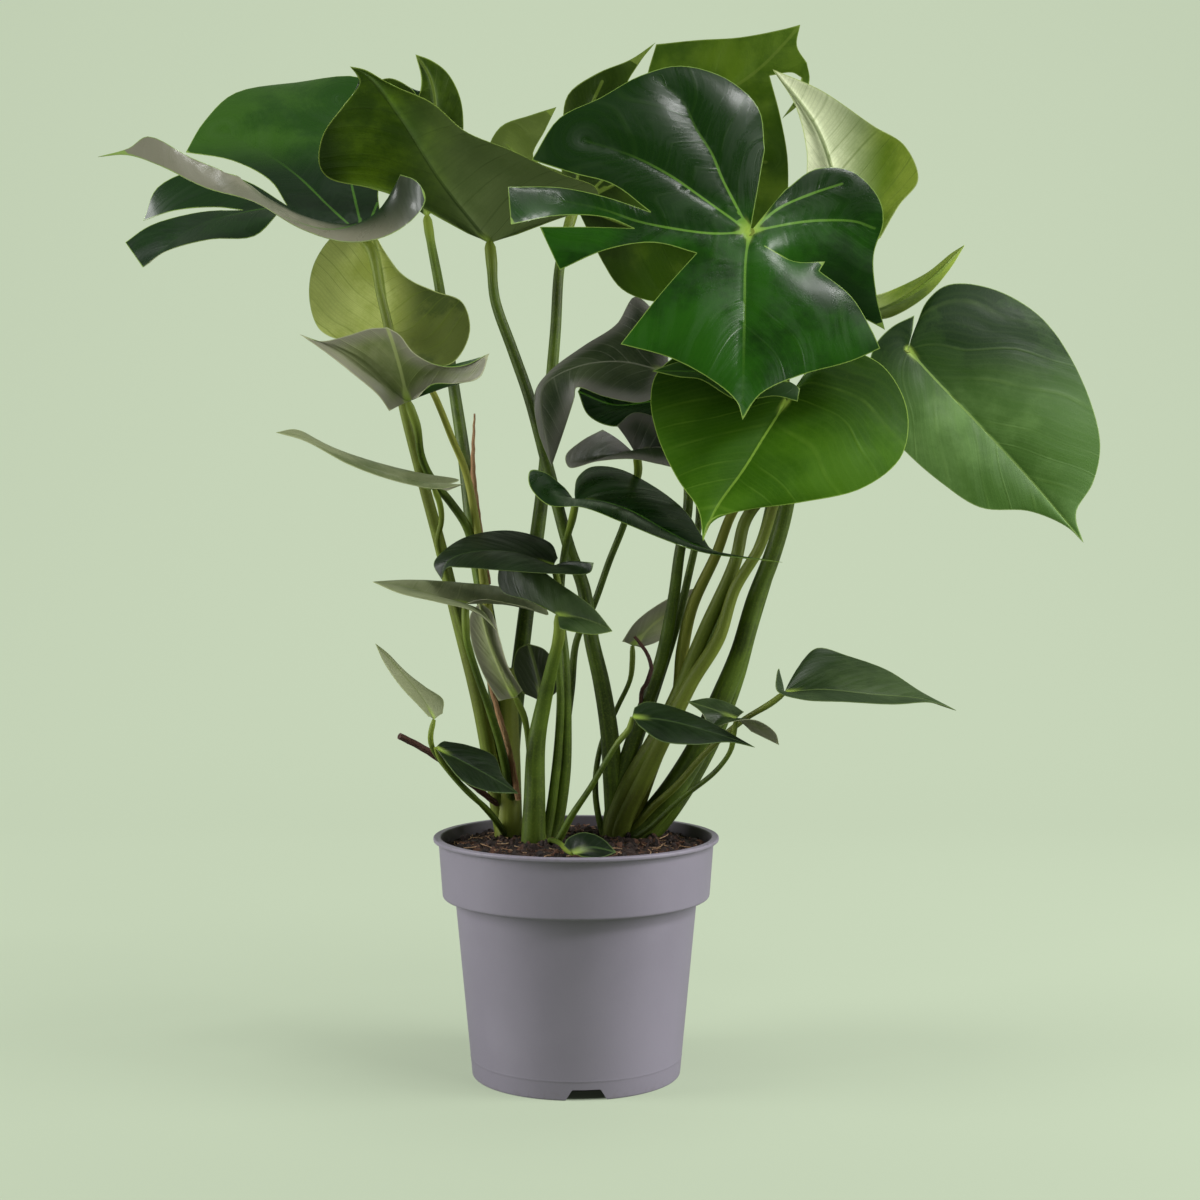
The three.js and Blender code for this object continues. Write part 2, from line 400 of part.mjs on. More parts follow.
// Colour and roughness of each kind of piece.
const COLOURS = {
  pot: [0x77757b, 0.55],
  soil: [0x32201a, 0.95],
  stems: [0x3f6224, 0.5],
  leaf: [0x1c4a1c, 0.35],
  root: [0x3a2320, 0.8],
  sheath: [0x8a6048, 0.8],
};

const vec = (p) => new THREE.Vector3(p[0], p[1], p[2]);

// A curve through points, split at the sharp corners; it is read at a point number with a fraction.
function curveThrough(points) {
  const sections = [];
  let start = 0;
  for (let i = 1; i < points.length; i++) {
    if (points[i][3] > 0 || i === points.length - 1) {
      const curve = new THREE.CatmullRomCurve3(points.slice(start, i + 1).map(vec), false, "centripetal");
      sections.push({ start, end: i, curve });
      start = i;
    }
  }
  return (index) => {
    const s = sections.find((sec) => index <= sec.end) ?? sections[sections.length - 1];
    return s.curve.getPoint((index - s.start) / (s.end - s.start));
  };
}

// The sample places of one margin: those whose veins fan out from the join, and the shares of the
// midrib at which its other points lie.
function marginShares(edge, fan, step) {
  const last = edge.length - 1;
  const fanned = [];
  for (let i = 0; i < fan; i += step) fanned.push(i);
  const shares = [];
  for (let i = fan; i <= last; i += step) shares.push((i - fan) / (last - fan));
  return { fanned, shares };
}

// The blade's middle surface: straight veins from the midrib to the margins, arched a little.
function bladeSurface(leaf, step, across) {
  const rib = curveThrough([leaf.join, ...leaf.rib]);
  const ribLast = leaf.rib.length;
  const up = vec(leaf.up).normalize();
  const sides = [[leaf.edgeA, leaf.fan[0]], [leaf.edgeB, leaf.fan[1]]].map(([edge, fan]) => (
    { edge: curveThrough(edge), last: edge.length - 1, fan, ...marginShares(edge, fan, step) }));
  const all = [...sides[0].shares, ...sides[1].shares].sort((a, b) => a - b);
  const shares = all.filter((w, i) => i === 0 || w - all[i - 1] > 1e-6);
  const points = [];
  const numbers = new Map();
  const number = (p) => {
    const key = [p.x, p.y, p.z].map((c) => Math.round(c * 100)).join(",");
    if (!numbers.has(key)) {
      numbers.set(key, points.length);
      points.push(p);
    }
    return numbers.get(key);
  };
  const triangles = [];
  sides.forEach((side, which) => {
    const places = [...side.fanned.map((i) => [i, 0])];
    shares.forEach((w) => places.push([side.fan + w * (side.last - side.fan), w]));
    const columns = places.map(([index, w]) => {
      const from = rib(w * ribLast);
      const to = side.edge(index);
      const reach = from.distanceTo(to);
      const column = [];
      for (let j = 0; j <= across; j++) {
        const t = j / across;
        const p = from.clone().lerp(to, t).addScaledVector(up, leaf.arch * reach * Math.sin(Math.PI * t));
        column.push(number(p));
      }
      return column;
    });
    for (let i = 0; i + 1 < columns.length; i++) {
      for (let j = 0; j < across; j++) {
        const [a, b, c, d] = [columns[i][j], columns[i + 1][j], columns[i + 1][j + 1], columns[i][j + 1]];
        const pair = [[a, b, c], [a, c, d]];
        for (const t of pair) {
          if (t[0] === t[1] || t[1] === t[2] || t[0] === t[2]) continue;
          triangles.push(which === 0 ? t : [t[0], t[2], t[1]]);
        }
      }
    }
  });
  return facingUp({ points, triangles }, up);
}

// A blade cut into strips: each half, and each part of it past an inner end of a cut marked 2, is
// an outline of its own, split into triangles in the blade's plane.
function cutBladeSurface(leaf) {
  const up = vec(leaf.up).normalize();
  const along = vec(leaf.rib[leaf.rib.length - 1]).sub(vec(leaf.join)).projectOnPlane(up).normalize();
  const across = up.clone().cross(along);
  const points = [vec(leaf.join), ...leaf.rib.map(vec)];
  const ribNumbers = leaf.rib.map((p, i) => i + 1);
  const tip = ribNumbers[ribNumbers.length - 1];
  const triangles = [];
  for (const edge of [leaf.edgeA, leaf.edgeB]) {
    const first = points.length;
    const curve = curveThrough(edge);
    const steps = (edge.length - 1) * 2;
    for (let i = 0; i < steps; i++) points.push(curve(i / 2));
    const numbers = [...Array(steps).keys()].map((i) => first + i).concat(tip);
    const splits = edge.map((p, i) => (p[3] === 2 ? i * 2 : -1)).filter((i) => i > 0);
    const bounds = [0, ...splits, steps];
    for (let b = 0; b + 1 < bounds.length; b++) {
      const loop = [0, ...numbers.slice(bounds[b], bounds[b + 1] + 1)];
      if (b + 2 === bounds.length) loop.push(...ribNumbers.slice(0, -1).reverse());
      const flat = loop.map((n) => new THREE.Vector2(points[n].dot(along), points[n].dot(across)));
      for (const t of THREE.ShapeUtils.triangulateShape(flat, [])) {
        const [p, q, r] = t.map((k) => flat[k]);
        const area = q.clone().sub(p).cross(r.clone().sub(p));
        const turn = t.map((k) => loop[k]);
        triangles.push(area > 0 ? turn : [turn[0], turn[2], turn[1]]);
      }
    }
  }
  return { points, triangles };
}

// Twice a triangle's area, along its outward direction.
const crossOf = (points, [a, b, c]) => points[b].clone().sub(points[a])
  .cross(points[c].clone().sub(points[a]));

function facingUp(surface, up) {
  const total = new THREE.Vector3();
  for (const t of surface.triangles) total.add(crossOf(surface.points, t));
  if (total.dot(up) < 0) surface.triangles = surface.triangles.map(([a, b, c]) => [a, c, b]);
  return surface;
}

// A closed sheet round a surface: both faces split alike, and walls along the margin.
function thickened({ points, triangles }, thickness) {
  const normals = points.map(() => new THREE.Vector3());
  const uses = new Map();
  for (const t of triangles) {
    const n = crossOf(points, t);
    t.forEach((v, k) => {
      normals[v].add(n);
      uses.set(`${v},${t[(k + 1) % 3]}`, [v, t[(k + 1) % 3]]);
    });
  }
  normals.forEach((n) => n.normalize());
  const margin = [...uses.values()].filter(([a, b]) => !uses.has(`${b},${a}`));
  const position = [];
  for (const side of [0.5, -0.5]) {
    points.forEach((p, i) => {
      const q = p.clone().addScaledVector(normals[i], side * thickness);
      position.push(q.x, q.y, q.z);
    });
  }
  const n = points.length;
  const index = [];
  for (const [a, b, c] of triangles) index.push(a, b, c, a + n, c + n, b + n);
  for (const [a, b] of margin) index.push(b, a, a + n, b, a + n, b + n);
  const geometry = new THREE.BufferGeometry();
  geometry.setAttribute("position", new THREE.Float32BufferAttribute(position, 3));
  geometry.setIndex(index);
  return geometry;
}

// A tapered round stalk along a path, closed at both ends: its top comes to a cone just short of
// the blade, and its foot is blunt.
function stalkGeometry(path, radii, extra = 0) {
  const curve = new THREE.CatmullRomCurve3(path.map(vec), false, "centripetal");
  const steps = path.length - 1;
  const sides = radii[1] >= 4.4 ? 7 : 5;
  const position = [];
  const index = [];
  const start = CONE_LENGTH / curve.getLength() * 0.9;
  const tangentAt = (t) => curve.getTangent(Math.min(Math.max(t, 0.001), 0.999));
  let across = new THREE.Vector3(1, 0, 0);
  for (let i = 0; i <= steps; i++) {
    const t = i === 0 ? start : i / steps;
    const centre = curve.getPoint(t);
    const along = tangentAt(t);
    across = across.clone().addScaledVector(along, -across.dot(along)).normalize();
    const side = along.clone().cross(across);
    const r = extra + (t < 0.5 ? THREE.MathUtils.lerp(radii[0], radii[1], t * 2)
      : THREE.MathUtils.lerp(radii[1], radii[2], t * 2 - 1));
    for (let k = 0; k < sides; k++) {
      const a = (k / sides) * Math.PI * 2;
      const p = centre.clone().addScaledVector(across, r * Math.cos(a));
      p.addScaledVector(side, r * Math.sin(a));
      position.push(p.x, p.y, p.z);
    }
  }
  for (let i = 0; i < steps; i++) {
    for (let k = 0; k < sides; k++) {
      const a = i * sides + k;
      const b = i * sides + ((k + 1) % sides);
      index.push(a, b, b + sides, a, b + sides, a + sides);
    }
  }
  const toJoin = vec(path[0]).sub(curve.getPoint(start)).setLength(SEAT_GAP - extra);
  const tip = vec(path[0]).sub(toJoin);
  const foot = curve.getPoint(1).addScaledVector(tangentAt(1), 0.6);
  [[0, tip, true], [steps, foot, false]].forEach(([ring, point, top]) => {
    const centre = position.length / 3;
    position.push(point.x, point.y, point.z);
    for (let k = 0; k < sides; k++) {
      const a = ring * sides + k;
      const b = ring * sides + ((k + 1) % sides);
      if (top) index.push(centre, b, a);
      else index.push(centre, a, b);
    }
  });
  const geometry = new THREE.BufferGeometry();
  geometry.setAttribute("position", new THREE.Float32BufferAttribute(position, 3));
  geometry.setIndex(index);
  return geometry;
}

function solid(geometry) {
  let bare = geometry.clone();
  bare.deleteAttribute("normal");
  bare.deleteAttribute("uv");
  bare = mergeVertices(bare, 1e-4);
  const vertProperties = new Float32Array(bare.attributes.position.array);
  const index = Array.from(bare.index.array);
  const kept = [];
  for (let i = 0; i < index.length; i += 3) {
    const [a, b, c] = index.slice(i, i + 3);
    if (a !== b && b !== c && a !== c) kept.push(a, b, c);
  }
  return new wasm.Manifold(new wasm.Mesh({ numProp: 3, vertProperties, triVerts: new Uint32Array(kept) }));
}

function geometryOf(manifold) {
  const mesh = manifold.getMesh();
  const geometry = new THREE.BufferGeometry();
  geometry.setAttribute("position", new THREE.Float32BufferAttribute(Array.from(mesh.vertProperties), 3));
  geometry.setIndex(Array.from(mesh.triVerts));
  return geometry;
}

const largestOf = (manifold) => manifold.decompose().sort((a, b) => b.volume() - a.volume())[0];

function meshOf(name, geometry, look) {
  const material = new THREE.MeshStandardMaterial({ color: look[0], roughness: look[1], metalness: 0 });
  geometry.computeVertexNormals();
  const mesh = new THREE.Mesh(geometry, material);
  mesh.name = name;
  return mesh;
}

const turned = (geometry, angle) => geometry.applyMatrix4(new THREE.Matrix4().makeRotationZ(angle));

function lathe(profile) {
  const outline = profile.map(([r, z]) => new THREE.Vector2(r, z));
  const upright = new THREE.Matrix4().makeRotationX(Math.PI / 2);
  return new THREE.LatheGeometry(outline, POT_SEGMENTS).applyMatrix4(upright);
}

// The inner wall's radius at a height between the floor and the band.
const innerRadius = (z) => THREE.MathUtils.lerp(BASE_RADIUS, BODY_TOP_RADIUS, z / BAND_BOTTOM) - WALL;
const channelTop = CHANNEL_HEIGHT + FLOOR_THICKNESS;
const bandInner = (z) => THREE.MathUtils.lerp(BAND_BOTTOM_RADIUS, BAND_TOP_RADIUS,
  (z - BAND_BOTTOM) / (POT_HEIGHT - BAND_BOTTOM)) - WALL;

function potSolid() {
  const lipBottom = POT_HEIGHT - LIP_HEIGHT;
  const profile = [
    [0, 0], [FLOOR_DISC_RADIUS, 0],
    [FLOOR_DISC_RADIUS + 2, CHANNEL_HEIGHT], [BASE_RADIUS - FOOT_RING - 0.4, CHANNEL_HEIGHT],
    [BASE_RADIUS - FOOT_RING, 0], [BASE_RADIUS, 0],
    [BODY_TOP_RADIUS, BAND_BOTTOM - 2], [BAND_BOTTOM_RADIUS - 0.6, BAND_BOTTOM],
    [BAND_BOTTOM_RADIUS, BAND_BOTTOM + 2], [BAND_TOP_RADIUS, lipBottom - 1],
    [LIP_RADIUS - 0.8, lipBottom], [LIP_RADIUS, POT_HEIGHT - LIP_HEIGHT / 2],
    [LIP_RADIUS - 0.8, POT_HEIGHT], [bandInner(POT_HEIGHT), POT_HEIGHT],
    [bandInner(BAND_BOTTOM + WALL), BAND_BOTTOM + WALL], [innerRadius(BAND_BOTTOM - 2), BAND_BOTTOM],
    [innerRadius(channelTop), channelTop], [FLOOR_DISC_RADIUS + 0.4, channelTop],
    [FLOOR_DISC_RADIUS - 1.6, FLOOR_THICKNESS], [0, FLOOR_THICKNESS],
  ];
  let pot = solid(lathe(profile));
  const notch = new THREE.Shape([
    [-NOTCH_BOTTOM_WIDTH / 2, -1], [NOTCH_BOTTOM_WIDTH / 2, -1],
    [NOTCH_TOP_WIDTH / 2, NOTCH_HEIGHT], [-NOTCH_TOP_WIDTH / 2, NOTCH_HEIGHT],
  ].map(([x, y]) => new THREE.Vector2(x, y)));
  const cut = new THREE.ExtrudeGeometry(notch, { depth: 30, bevelEnabled: false });
  cut.applyMatrix4(new THREE.Matrix4().makeRotationX(Math.PI / 2));
  cut.translate(0, -BASE_RADIUS + 15, 0);
  const drain = new THREE.CylinderGeometry(DRAIN_RADIUS, DRAIN_RADIUS, FLOOR_THICKNESS + 4, 12);
  drain.applyMatrix4(new THREE.Matrix4().makeRotationX(Math.PI / 2));
  drain.translate(0, -(FLOOR_DISC_RADIUS + BASE_RADIUS - 2) / 2, CHANNEL_HEIGHT + FLOOR_THICKNESS / 2);
  for (let i = 0; i < NOTCHES; i++) {
    const angle = (i / NOTCHES) * Math.PI * 2 + THREE.MathUtils.degToRad(NOTCH_TURN);
    pot = pot.subtract(solid(turned(cut.clone(), angle)));
    pot = pot.subtract(solid(turned(drain.clone(), angle)));
  }
  return pot;
}

// Lumpy soil: rings of points whose heights are drawn once from a seeded sequence.
function soilSolid() {
  let state = SOIL_SEED;
  const draw = () => {
    state = (state * 16807) % 2147483647;
    return state / 2147483647 - 0.5;
  };
  const edge = bandInner(SOIL_EDGE_HEIGHT) - GAP;
  const radii = [...SOIL_RINGS, edge];
  const position = [0, 0, SOIL_EDGE_HEIGHT + SOIL_HEAP];
  const index = [];
  const ring = (r, z, lump) => {
    const first = position.length / 3;
    for (let k = 0; k < POT_SEGMENTS; k++) {
      const a = (k / POT_SEGMENTS) * Math.PI * 2;
      position.push(r * Math.sin(a), r * Math.cos(a), z + lump * draw());
    }
    return first;
  };
  const join = (upper, lower) => {
    for (let k = 0; k < POT_SEGMENTS; k++) {
      const m = (k + 1) % POT_SEGMENTS;
      index.push(upper + k, upper + m, lower + m, upper + k, lower + m, lower + k);
    }
  };
  const rings = radii.map((r, i) => {
    const heap = SOIL_HEAP * (1 - (r / edge) ** 2);
    return ring(r, SOIL_EDGE_HEIGHT + heap, i === radii.length - 1 ? 0 : SOIL_LUMP * 2);
  });
  const under = [
    [bandInner(BAND_BOTTOM + WALL) - GAP, BAND_BOTTOM + WALL + GAP],
    [innerRadius(BAND_BOTTOM - 2) - GAP, BAND_BOTTOM + GAP / 2],
    [innerRadius(channelTop) - GAP, channelTop + GAP],
    [FLOOR_DISC_RADIUS + 0.4 - GAP, channelTop + GAP],
    [FLOOR_DISC_RADIUS - 1.6 - GAP, FLOOR_THICKNESS + GAP],
  ];
  rings.push(...under.map(([r, z]) => ring(r, z, 0)));
  for (let k = 0; k < POT_SEGMENTS; k++) index.push(0, rings[0] + (k + 1) % POT_SEGMENTS, rings[0] + k);
  for (let i = 0; i + 1 < rings.length; i++) join(rings[i], rings[i + 1]);
  const bottom = position.length / 3;
  position.push(0, 0, FLOOR_THICKNESS + GAP);
  const last = rings[rings.length - 1];
  for (let k = 0; k < POT_SEGMENTS; k++) index.push(bottom, last + k, last + (k + 1) % POT_SEGMENTS);
  const geometry = new THREE.BufferGeometry();
  geometry.setAttribute("position", new THREE.Float32BufferAttribute(position, 3));
  geometry.setIndex(index);
  return solid(geometry);
}

const ARCH = 0.05;
const group = new THREE.Group();
const surfaces = {};
for (const [name, leaf] of Object.entries(LEAVES)) {
  leaf.arch = leaf.arch ?? ARCH;
  const points = leaf.edgeA.length + leaf.edgeB.length;
  const reach = vec(leaf.join).distanceTo(vec(leaf.rib[leaf.rib.length - 1]));
  surfaces[name] = points >= CUT_LEAF ? cutBladeSurface(leaf)
    : bladeSurface(leaf, reach > LONG_BLADE ? 0.5 : 1, 2);
  group.add(meshOf(name, thickened(surfaces[name], BLADE_THICKNESS), COLOURS.leaf));
}

// A crown's stump and stalks, grown together; extra makes it fatter all round.
function crownSolid(crown, extra) {
  const [x, y] = crown.foot;
  const stump = [[x, y, crown.top], [x, y, (crown.top + ROOT_DEPTH) / 2], [x, y, ROOT_DEPTH - 4]];
  const [low, high] = crown.radius;
  let whole = solid(stalkGeometry(stump, [high * 0.7, high, low], extra));
  for (const stalk of crown.stalks) {
    const path = [...stalk.path, [x, y, ROOT_DEPTH]];
    whole = whole.add(solid(stalkGeometry(path, stalk.r, extra)));
  }
  return largestOf(whole);
}

let soil = soilSolid();
let stemsAround = null;
for (const [name, crown] of Object.entries(CROWNS)) {
  const around = crownSolid(crown, STEM_CLEARANCE);
  stemsAround = stemsAround ? stemsAround.add(around) : around;
  group.add(meshOf(name, geometryOf(crownSolid(crown, 0)), COLOURS.stems));
}
soil = largestOf(soil.subtract(stemsAround));

for (const [name, piece] of Object.entries(BROWN)) {
  const whole = solid(stalkGeometry(piece.path, piece.r));
  const look = name.startsWith("root") ? COLOURS.root : COLOURS.sheath;
  group.add(meshOf(name, geometryOf(largestOf(whole.subtract(stemsAround))), look));
}
group.add(meshOf("soil", geometryOf(soil), COLOURS.soil));
group.add(meshOf("pot", geometryOf(potSolid()), COLOURS.pot));

export default group;
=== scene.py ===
# %% [markdown]
# # A potted swiss cheese plant
#
# Three young Monstera plants share one grey nursery pot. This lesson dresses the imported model: the
# pot, the soil, the stalks and every leaf blade get their real curves and their finishes. All sizes
# are in metres in the end, but the tables below are in millimetres, because leaves are easier to
# think of that way. The origin is the middle of the pot's underside, and -Y is the plant's front.

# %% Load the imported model
import math

import bmesh
import bpy
import numpy as np
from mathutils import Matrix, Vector
from mathutils.geometry import delaunay_2d_cdt


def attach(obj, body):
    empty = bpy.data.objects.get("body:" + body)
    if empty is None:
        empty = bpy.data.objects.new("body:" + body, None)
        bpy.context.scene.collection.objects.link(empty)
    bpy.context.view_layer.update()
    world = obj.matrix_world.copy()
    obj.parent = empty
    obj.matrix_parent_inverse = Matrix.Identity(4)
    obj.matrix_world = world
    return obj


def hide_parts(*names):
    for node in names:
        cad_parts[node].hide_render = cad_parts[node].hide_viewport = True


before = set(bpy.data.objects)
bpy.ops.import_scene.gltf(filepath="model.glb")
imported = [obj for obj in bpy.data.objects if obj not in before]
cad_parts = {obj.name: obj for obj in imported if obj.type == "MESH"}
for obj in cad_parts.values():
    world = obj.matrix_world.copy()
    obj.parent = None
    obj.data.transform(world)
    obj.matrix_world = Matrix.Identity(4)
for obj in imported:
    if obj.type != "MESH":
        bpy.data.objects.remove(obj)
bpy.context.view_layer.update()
MM = 0.001

# %% [markdown]
# ## Camera
#
# The camera stands in front of the plant at about half its height, looking down by less than two
# degrees, which is why the pot's rim shows as a flat ellipse. A lens of 57 mm on a 36 mm sensor keeps
# the leaves in front from growing too large against the ones behind.

# %% Camera
CAMERA_PLACE = (0.020, -1.600, 0.446)
CAMERA_PITCH = math.radians(88.28)
CAMERA_LENS = 57.27
SENSOR_WIDTH = 36


def placed(name, data):
    """A new object in the scene."""
    made = bpy.data.objects.new(name, data)
    bpy.context.scene.collection.objects.link(made)
    return made


camera_data = bpy.data.cameras.new("camera")
camera_data.lens = CAMERA_LENS
camera_data.sensor_width = SENSOR_WIDTH
camera_data.clip_start = 0.01
camera = placed("camera", camera_data)
camera.location = CAMERA_PLACE
camera.rotation_euler = (CAMERA_PITCH, 0, 0)
bpy.context.scene.camera = camera
bpy.context.scene.view_settings.view_transform = "Standard"
print("camera at", CAMERA_PLACE, "lens", CAMERA_LENS)

# %% [markdown]
# ## Node helpers
#
# Every finish below is a tree of shader nodes. A handful of short functions, each for one kind of
# node, lets a finish be read like a recipe: a mask, a colour laid over another, a gloss, a relief.

# %% Colours and nodes
def srgb(red, green, blue):
    """A colour as seen on a screen, 0 to 255, in the linear values that shaders want."""
    shares = [c / 255 for c in (red, green, blue)]
    return [c / 12.92 if c <= 0.04045 else ((c + 0.055) / 1.055) ** 2.4 for c in shares] + [1]


def node(tree, kind, inputs=None, **settings):
    """Add a node; an input is a value or the socket that feeds it, by name or by number."""
    made = tree.nodes.new(kind)
    for key, value in settings.items():
        setattr(made, key, value)
    for key, value in (inputs or {}).items():
        socket = made.inputs[key]
        if isinstance(value, bpy.types.NodeSocket):
            tree.links.new(value, socket)
        else:
            socket.default_value = value
    return made


def calc(tree, operation, *values, clamp=False):
    """A Math node on up to three values; gives its output socket."""
    inputs = dict(enumerate(values))
    return node(tree, "ShaderNodeMath", inputs, operation=operation, use_clamp=clamp).outputs[0]


def times(tree, first, second):
    """Two values multiplied."""
    return calc(tree, "MULTIPLY", first, second)


def vector_calc(tree, operation, *vectors):
    """A Vector Math node; gives a vector, or the length when that is asked for."""
    made = node(tree, "ShaderNodeVectorMath", dict(enumerate(vectors)), operation=operation)
    return made.outputs["Value" if operation == "LENGTH" else "Vector"]


SAGE = srgb(195, 208, 182)
print("backdrop colour:", [round(c, 3) for c in SAGE[:3]])

# %% Masks and colours over one another
def blend_colours(tree, share, first, second):
    """A colour between two, by a share from 0 to 1."""
    inputs = {0: share, 6: first, 7: second}
    return node(tree, "ShaderNodeMix", inputs, data_type="RGBA").outputs[2]


def laid_over(tree, colour, other, mask, share):
    """A colour laid over another where a mask says so, with at most the given share."""
    return blend_colours(tree, times(tree, mask, share), colour, other)


def spread(tree, value, low, high, start=0.0, end=1.0):
    """Map a value's range low..high to start..end, with a smooth ease at both ends."""
    inputs = {0: value, 1: low, 2: high, 3: start, 4: end}
    return node(tree, "ShaderNodeMapRange", inputs, interpolation_type="SMOOTHSTEP").outputs[0]


def noise(tree, vector, scale, detail=3.0, rough=0.55):
    """Noise from 0 to 1 on a vector."""
    inputs = {"Vector": vector, "Scale": scale, "Detail": detail, "Roughness": rough}
    return node(tree, "ShaderNodeTexNoise", inputs).outputs["Fac"]


def object_place(tree):
    """Where a point lies, in the object's own metres."""
    return node(tree, "ShaderNodeTexCoord").outputs["Object"]


def along_axis(tree, vector, axis):
    """One coordinate of a vector, by its letter."""
    return node(tree, "ShaderNodeSeparateXYZ", {"Vector": vector}).outputs[axis]


def attribute(tree, name, output="Fac"):
    """A measure that the mesh carries, by name."""
    return node(tree, "ShaderNodeAttribute", attribute_name=name).outputs[output]


print("mask helpers:", spread.__name__, noise.__name__, along_axis.__name__, attribute.__name__)

# %% Materials
def new_material(name):
    """A material with a Principled shader; gives the material, its tree and the shader."""
    material = bpy.data.materials.new(name)
    material.use_nodes = True
    tree = material.node_tree
    return material, tree, tree.nodes["Principled BSDF"]


def set_surface(tree, shader, colour, rough, relief, bump, depth):
    """Feed a shader its colour and roughness, and its relief as a bump with a depth in metres."""
    tree.links.new(colour, shader.inputs["Base Color"])
    tree.links.new(rough, shader.inputs["Roughness"])
    bumped = node(tree, "ShaderNodeBump", {"Strength": bump, "Distance": depth, "Height": relief})
    tree.links.new(bumped.outputs[0], shader.inputs["Normal"])


print("materials in the file so far:", len(bpy.data.materials))

# %% [markdown]
# ## Studio
#
# The floor runs up into the wall behind without a corner, as a roll of pale sage paper does. Most of
# its brightness is its own, so that the sheet stays even while the plant still throws a soft shadow
# at its foot, but it sends less light on to the plant than the camera sees. Under the pot and in a
# soft patch round its foot the glow is turned down: a painted shadow, over the real one. Large soft
# boxes light the plant from the left, the right and above, and a small one high in front gives the
# waxy leaves their narrow highlights.

# %% Paper floor and wall
PAPER_FRONT, PAPER_BACK, PAPER_TOP, PAPER_BEND = -2.6, 2.6, 4.0, 1.2
PAPER_HALF_WIDTH = 4.0
BEND_STEPS = 12

paper_profile = [(PAPER_FRONT, 0.0)]
for step in range(BEND_STEPS + 1):
    angle = step / BEND_STEPS * math.pi / 2
    paper_profile.append((PAPER_BACK - PAPER_BEND + PAPER_BEND * math.sin(angle),
                          PAPER_BEND * (1 - math.cos(angle))))
paper_profile.append((PAPER_BACK, PAPER_TOP))
paper_points = [(x, y, z) for y, z in paper_profile for x in (-PAPER_HALF_WIDTH, PAPER_HALF_WIDTH)]
paper_faces = [(i, i + 1, i + 3, i + 2) for i in range(0, len(paper_points) - 2, 2)]
paper_mesh = bpy.data.meshes.new("paper")
paper_mesh.from_pydata(paper_points, [], paper_faces)
paper_mesh.shade_smooth()
paper = placed("paper", paper_mesh)
print("paper:", len(paper_faces), "faces")

# %% Paper finish
FLOOR_GLOW, WALL_GLOW = 0.59, 0.81
GLOW_NEAR, GLOW_FAR = -0.7, 1.5
PAPER_FILL = 0.36
PAPER_ALBEDO, PAPER_GRAIN = 0.30, 0.02
# Painted shadow: the glow drops to 3 % under the pot, and by a tenth in a soft patch round its foot.
UNDER_POT_SHADOW = (0.080, 0.0875, 0.03)
SOFT_SHADE = (0.08, 0.27, 0.90)
SHADE_CENTRE = (0.04, 0.02, 0.0)

paper_material, tree, shader = new_material("sage_paper")
place = object_place(tree)
darker, lighter = ([PAPER_ALBEDO * c * share for c in SAGE[:3]] + [1]
                   for share in (1 - PAPER_GRAIN, 1 + PAPER_GRAIN))
paper_colour = blend_colours(tree, noise(tree, place, 3.0), darker, lighter)
tree.links.new(paper_colour, shader.inputs["Base Color"])
shader.inputs["Roughness"].default_value = 0.9
shader.inputs["Specular IOR Level"].default_value = 0.0
shader.inputs["Emission Color"].default_value = SAGE
glow = spread(tree, along_axis(tree, place, "Y"), GLOW_NEAR, GLOW_FAR, FLOOR_GLOW, WALL_GLOW)
# Painted shadow: the soft patch is centred a little to the left of the pot and in front of it.
shade_place = vector_calc(tree, "ADD", place, SHADE_CENTRE)
for centre, (near, far, darkest) in ((place, UNDER_POT_SHADOW), (shade_place, SOFT_SHADE)):
    reach = vector_calc(tree, "LENGTH", centre)
    glow = times(tree, glow, spread(tree, reach, near, far, darkest, 1.0))
seen = node(tree, "ShaderNodeLightPath").outputs["Is Camera Ray"]
sent = times(tree, glow, spread(tree, seen, 0.0, 1.0, PAPER_FILL, 1.0))
tree.links.new(sent, shader.inputs["Emission Strength"])
paper_mesh.materials.append(paper_material)
print("paper finish:", paper_material.name, "with", len(tree.nodes), "nodes")

# %% Light of the room
WORLD_STRENGTH = 0.30

world = bpy.data.worlds.new("studio_air")
world.use_nodes = True
world.node_tree.nodes["Background"].inputs["Color"].default_value = SAGE
world.node_tree.nodes["Background"].inputs["Strength"].default_value = WORLD_STRENGTH
bpy.context.scene.world = world
print("light of the room:", WORLD_STRENGTH)

# %% Soft boxes
AIM = Vector((0.0, 0.0, 0.42))
SOFT_BOXES = {
    "softbox_left": ((-1.9, -0.4, 0.9), 0.9, 1.7, 47),
    "softbox_right": ((1.9, -0.4, 1.1), 0.9, 1.7, 52),
    "softbox_top": ((1.35, -1.3, 2.0), 0.8, 0.4, 24),
    "softbox_small": ((0.56, -0.6, 2.5), 0.45, 0.14, 6),
}

for name, (place, width, height, power) in SOFT_BOXES.items():
    light = bpy.data.lights.new(name, "AREA")
    light.shape = "RECTANGLE"
    light.size, light.size_y = width, height
    light.energy = power
    lamp = placed(name, light)
    lamp.location = place
    lamp.rotation_euler = (AIM - Vector(place)).to_track_quat("-Z", "Y").to_euler()
    print(name, "at", place, power, "W")

# %% [markdown]
# ## Tables of points
#
# The plant has no straight line to measure from, so each blade is written down as points on the
# living leaf, in millimetres: the join with the stalk, the midrib to the tip, and the two margins
# from the notch at the stalk round to the tip, which both share with the midrib. "up" is the way the
# upper side faces. Margin points up to the number in "fan" have veins that start at the join. A
# fourth value marks a sharp corner, and 2 there marks the inner end of a cut where the strips on
# both sides overlap.

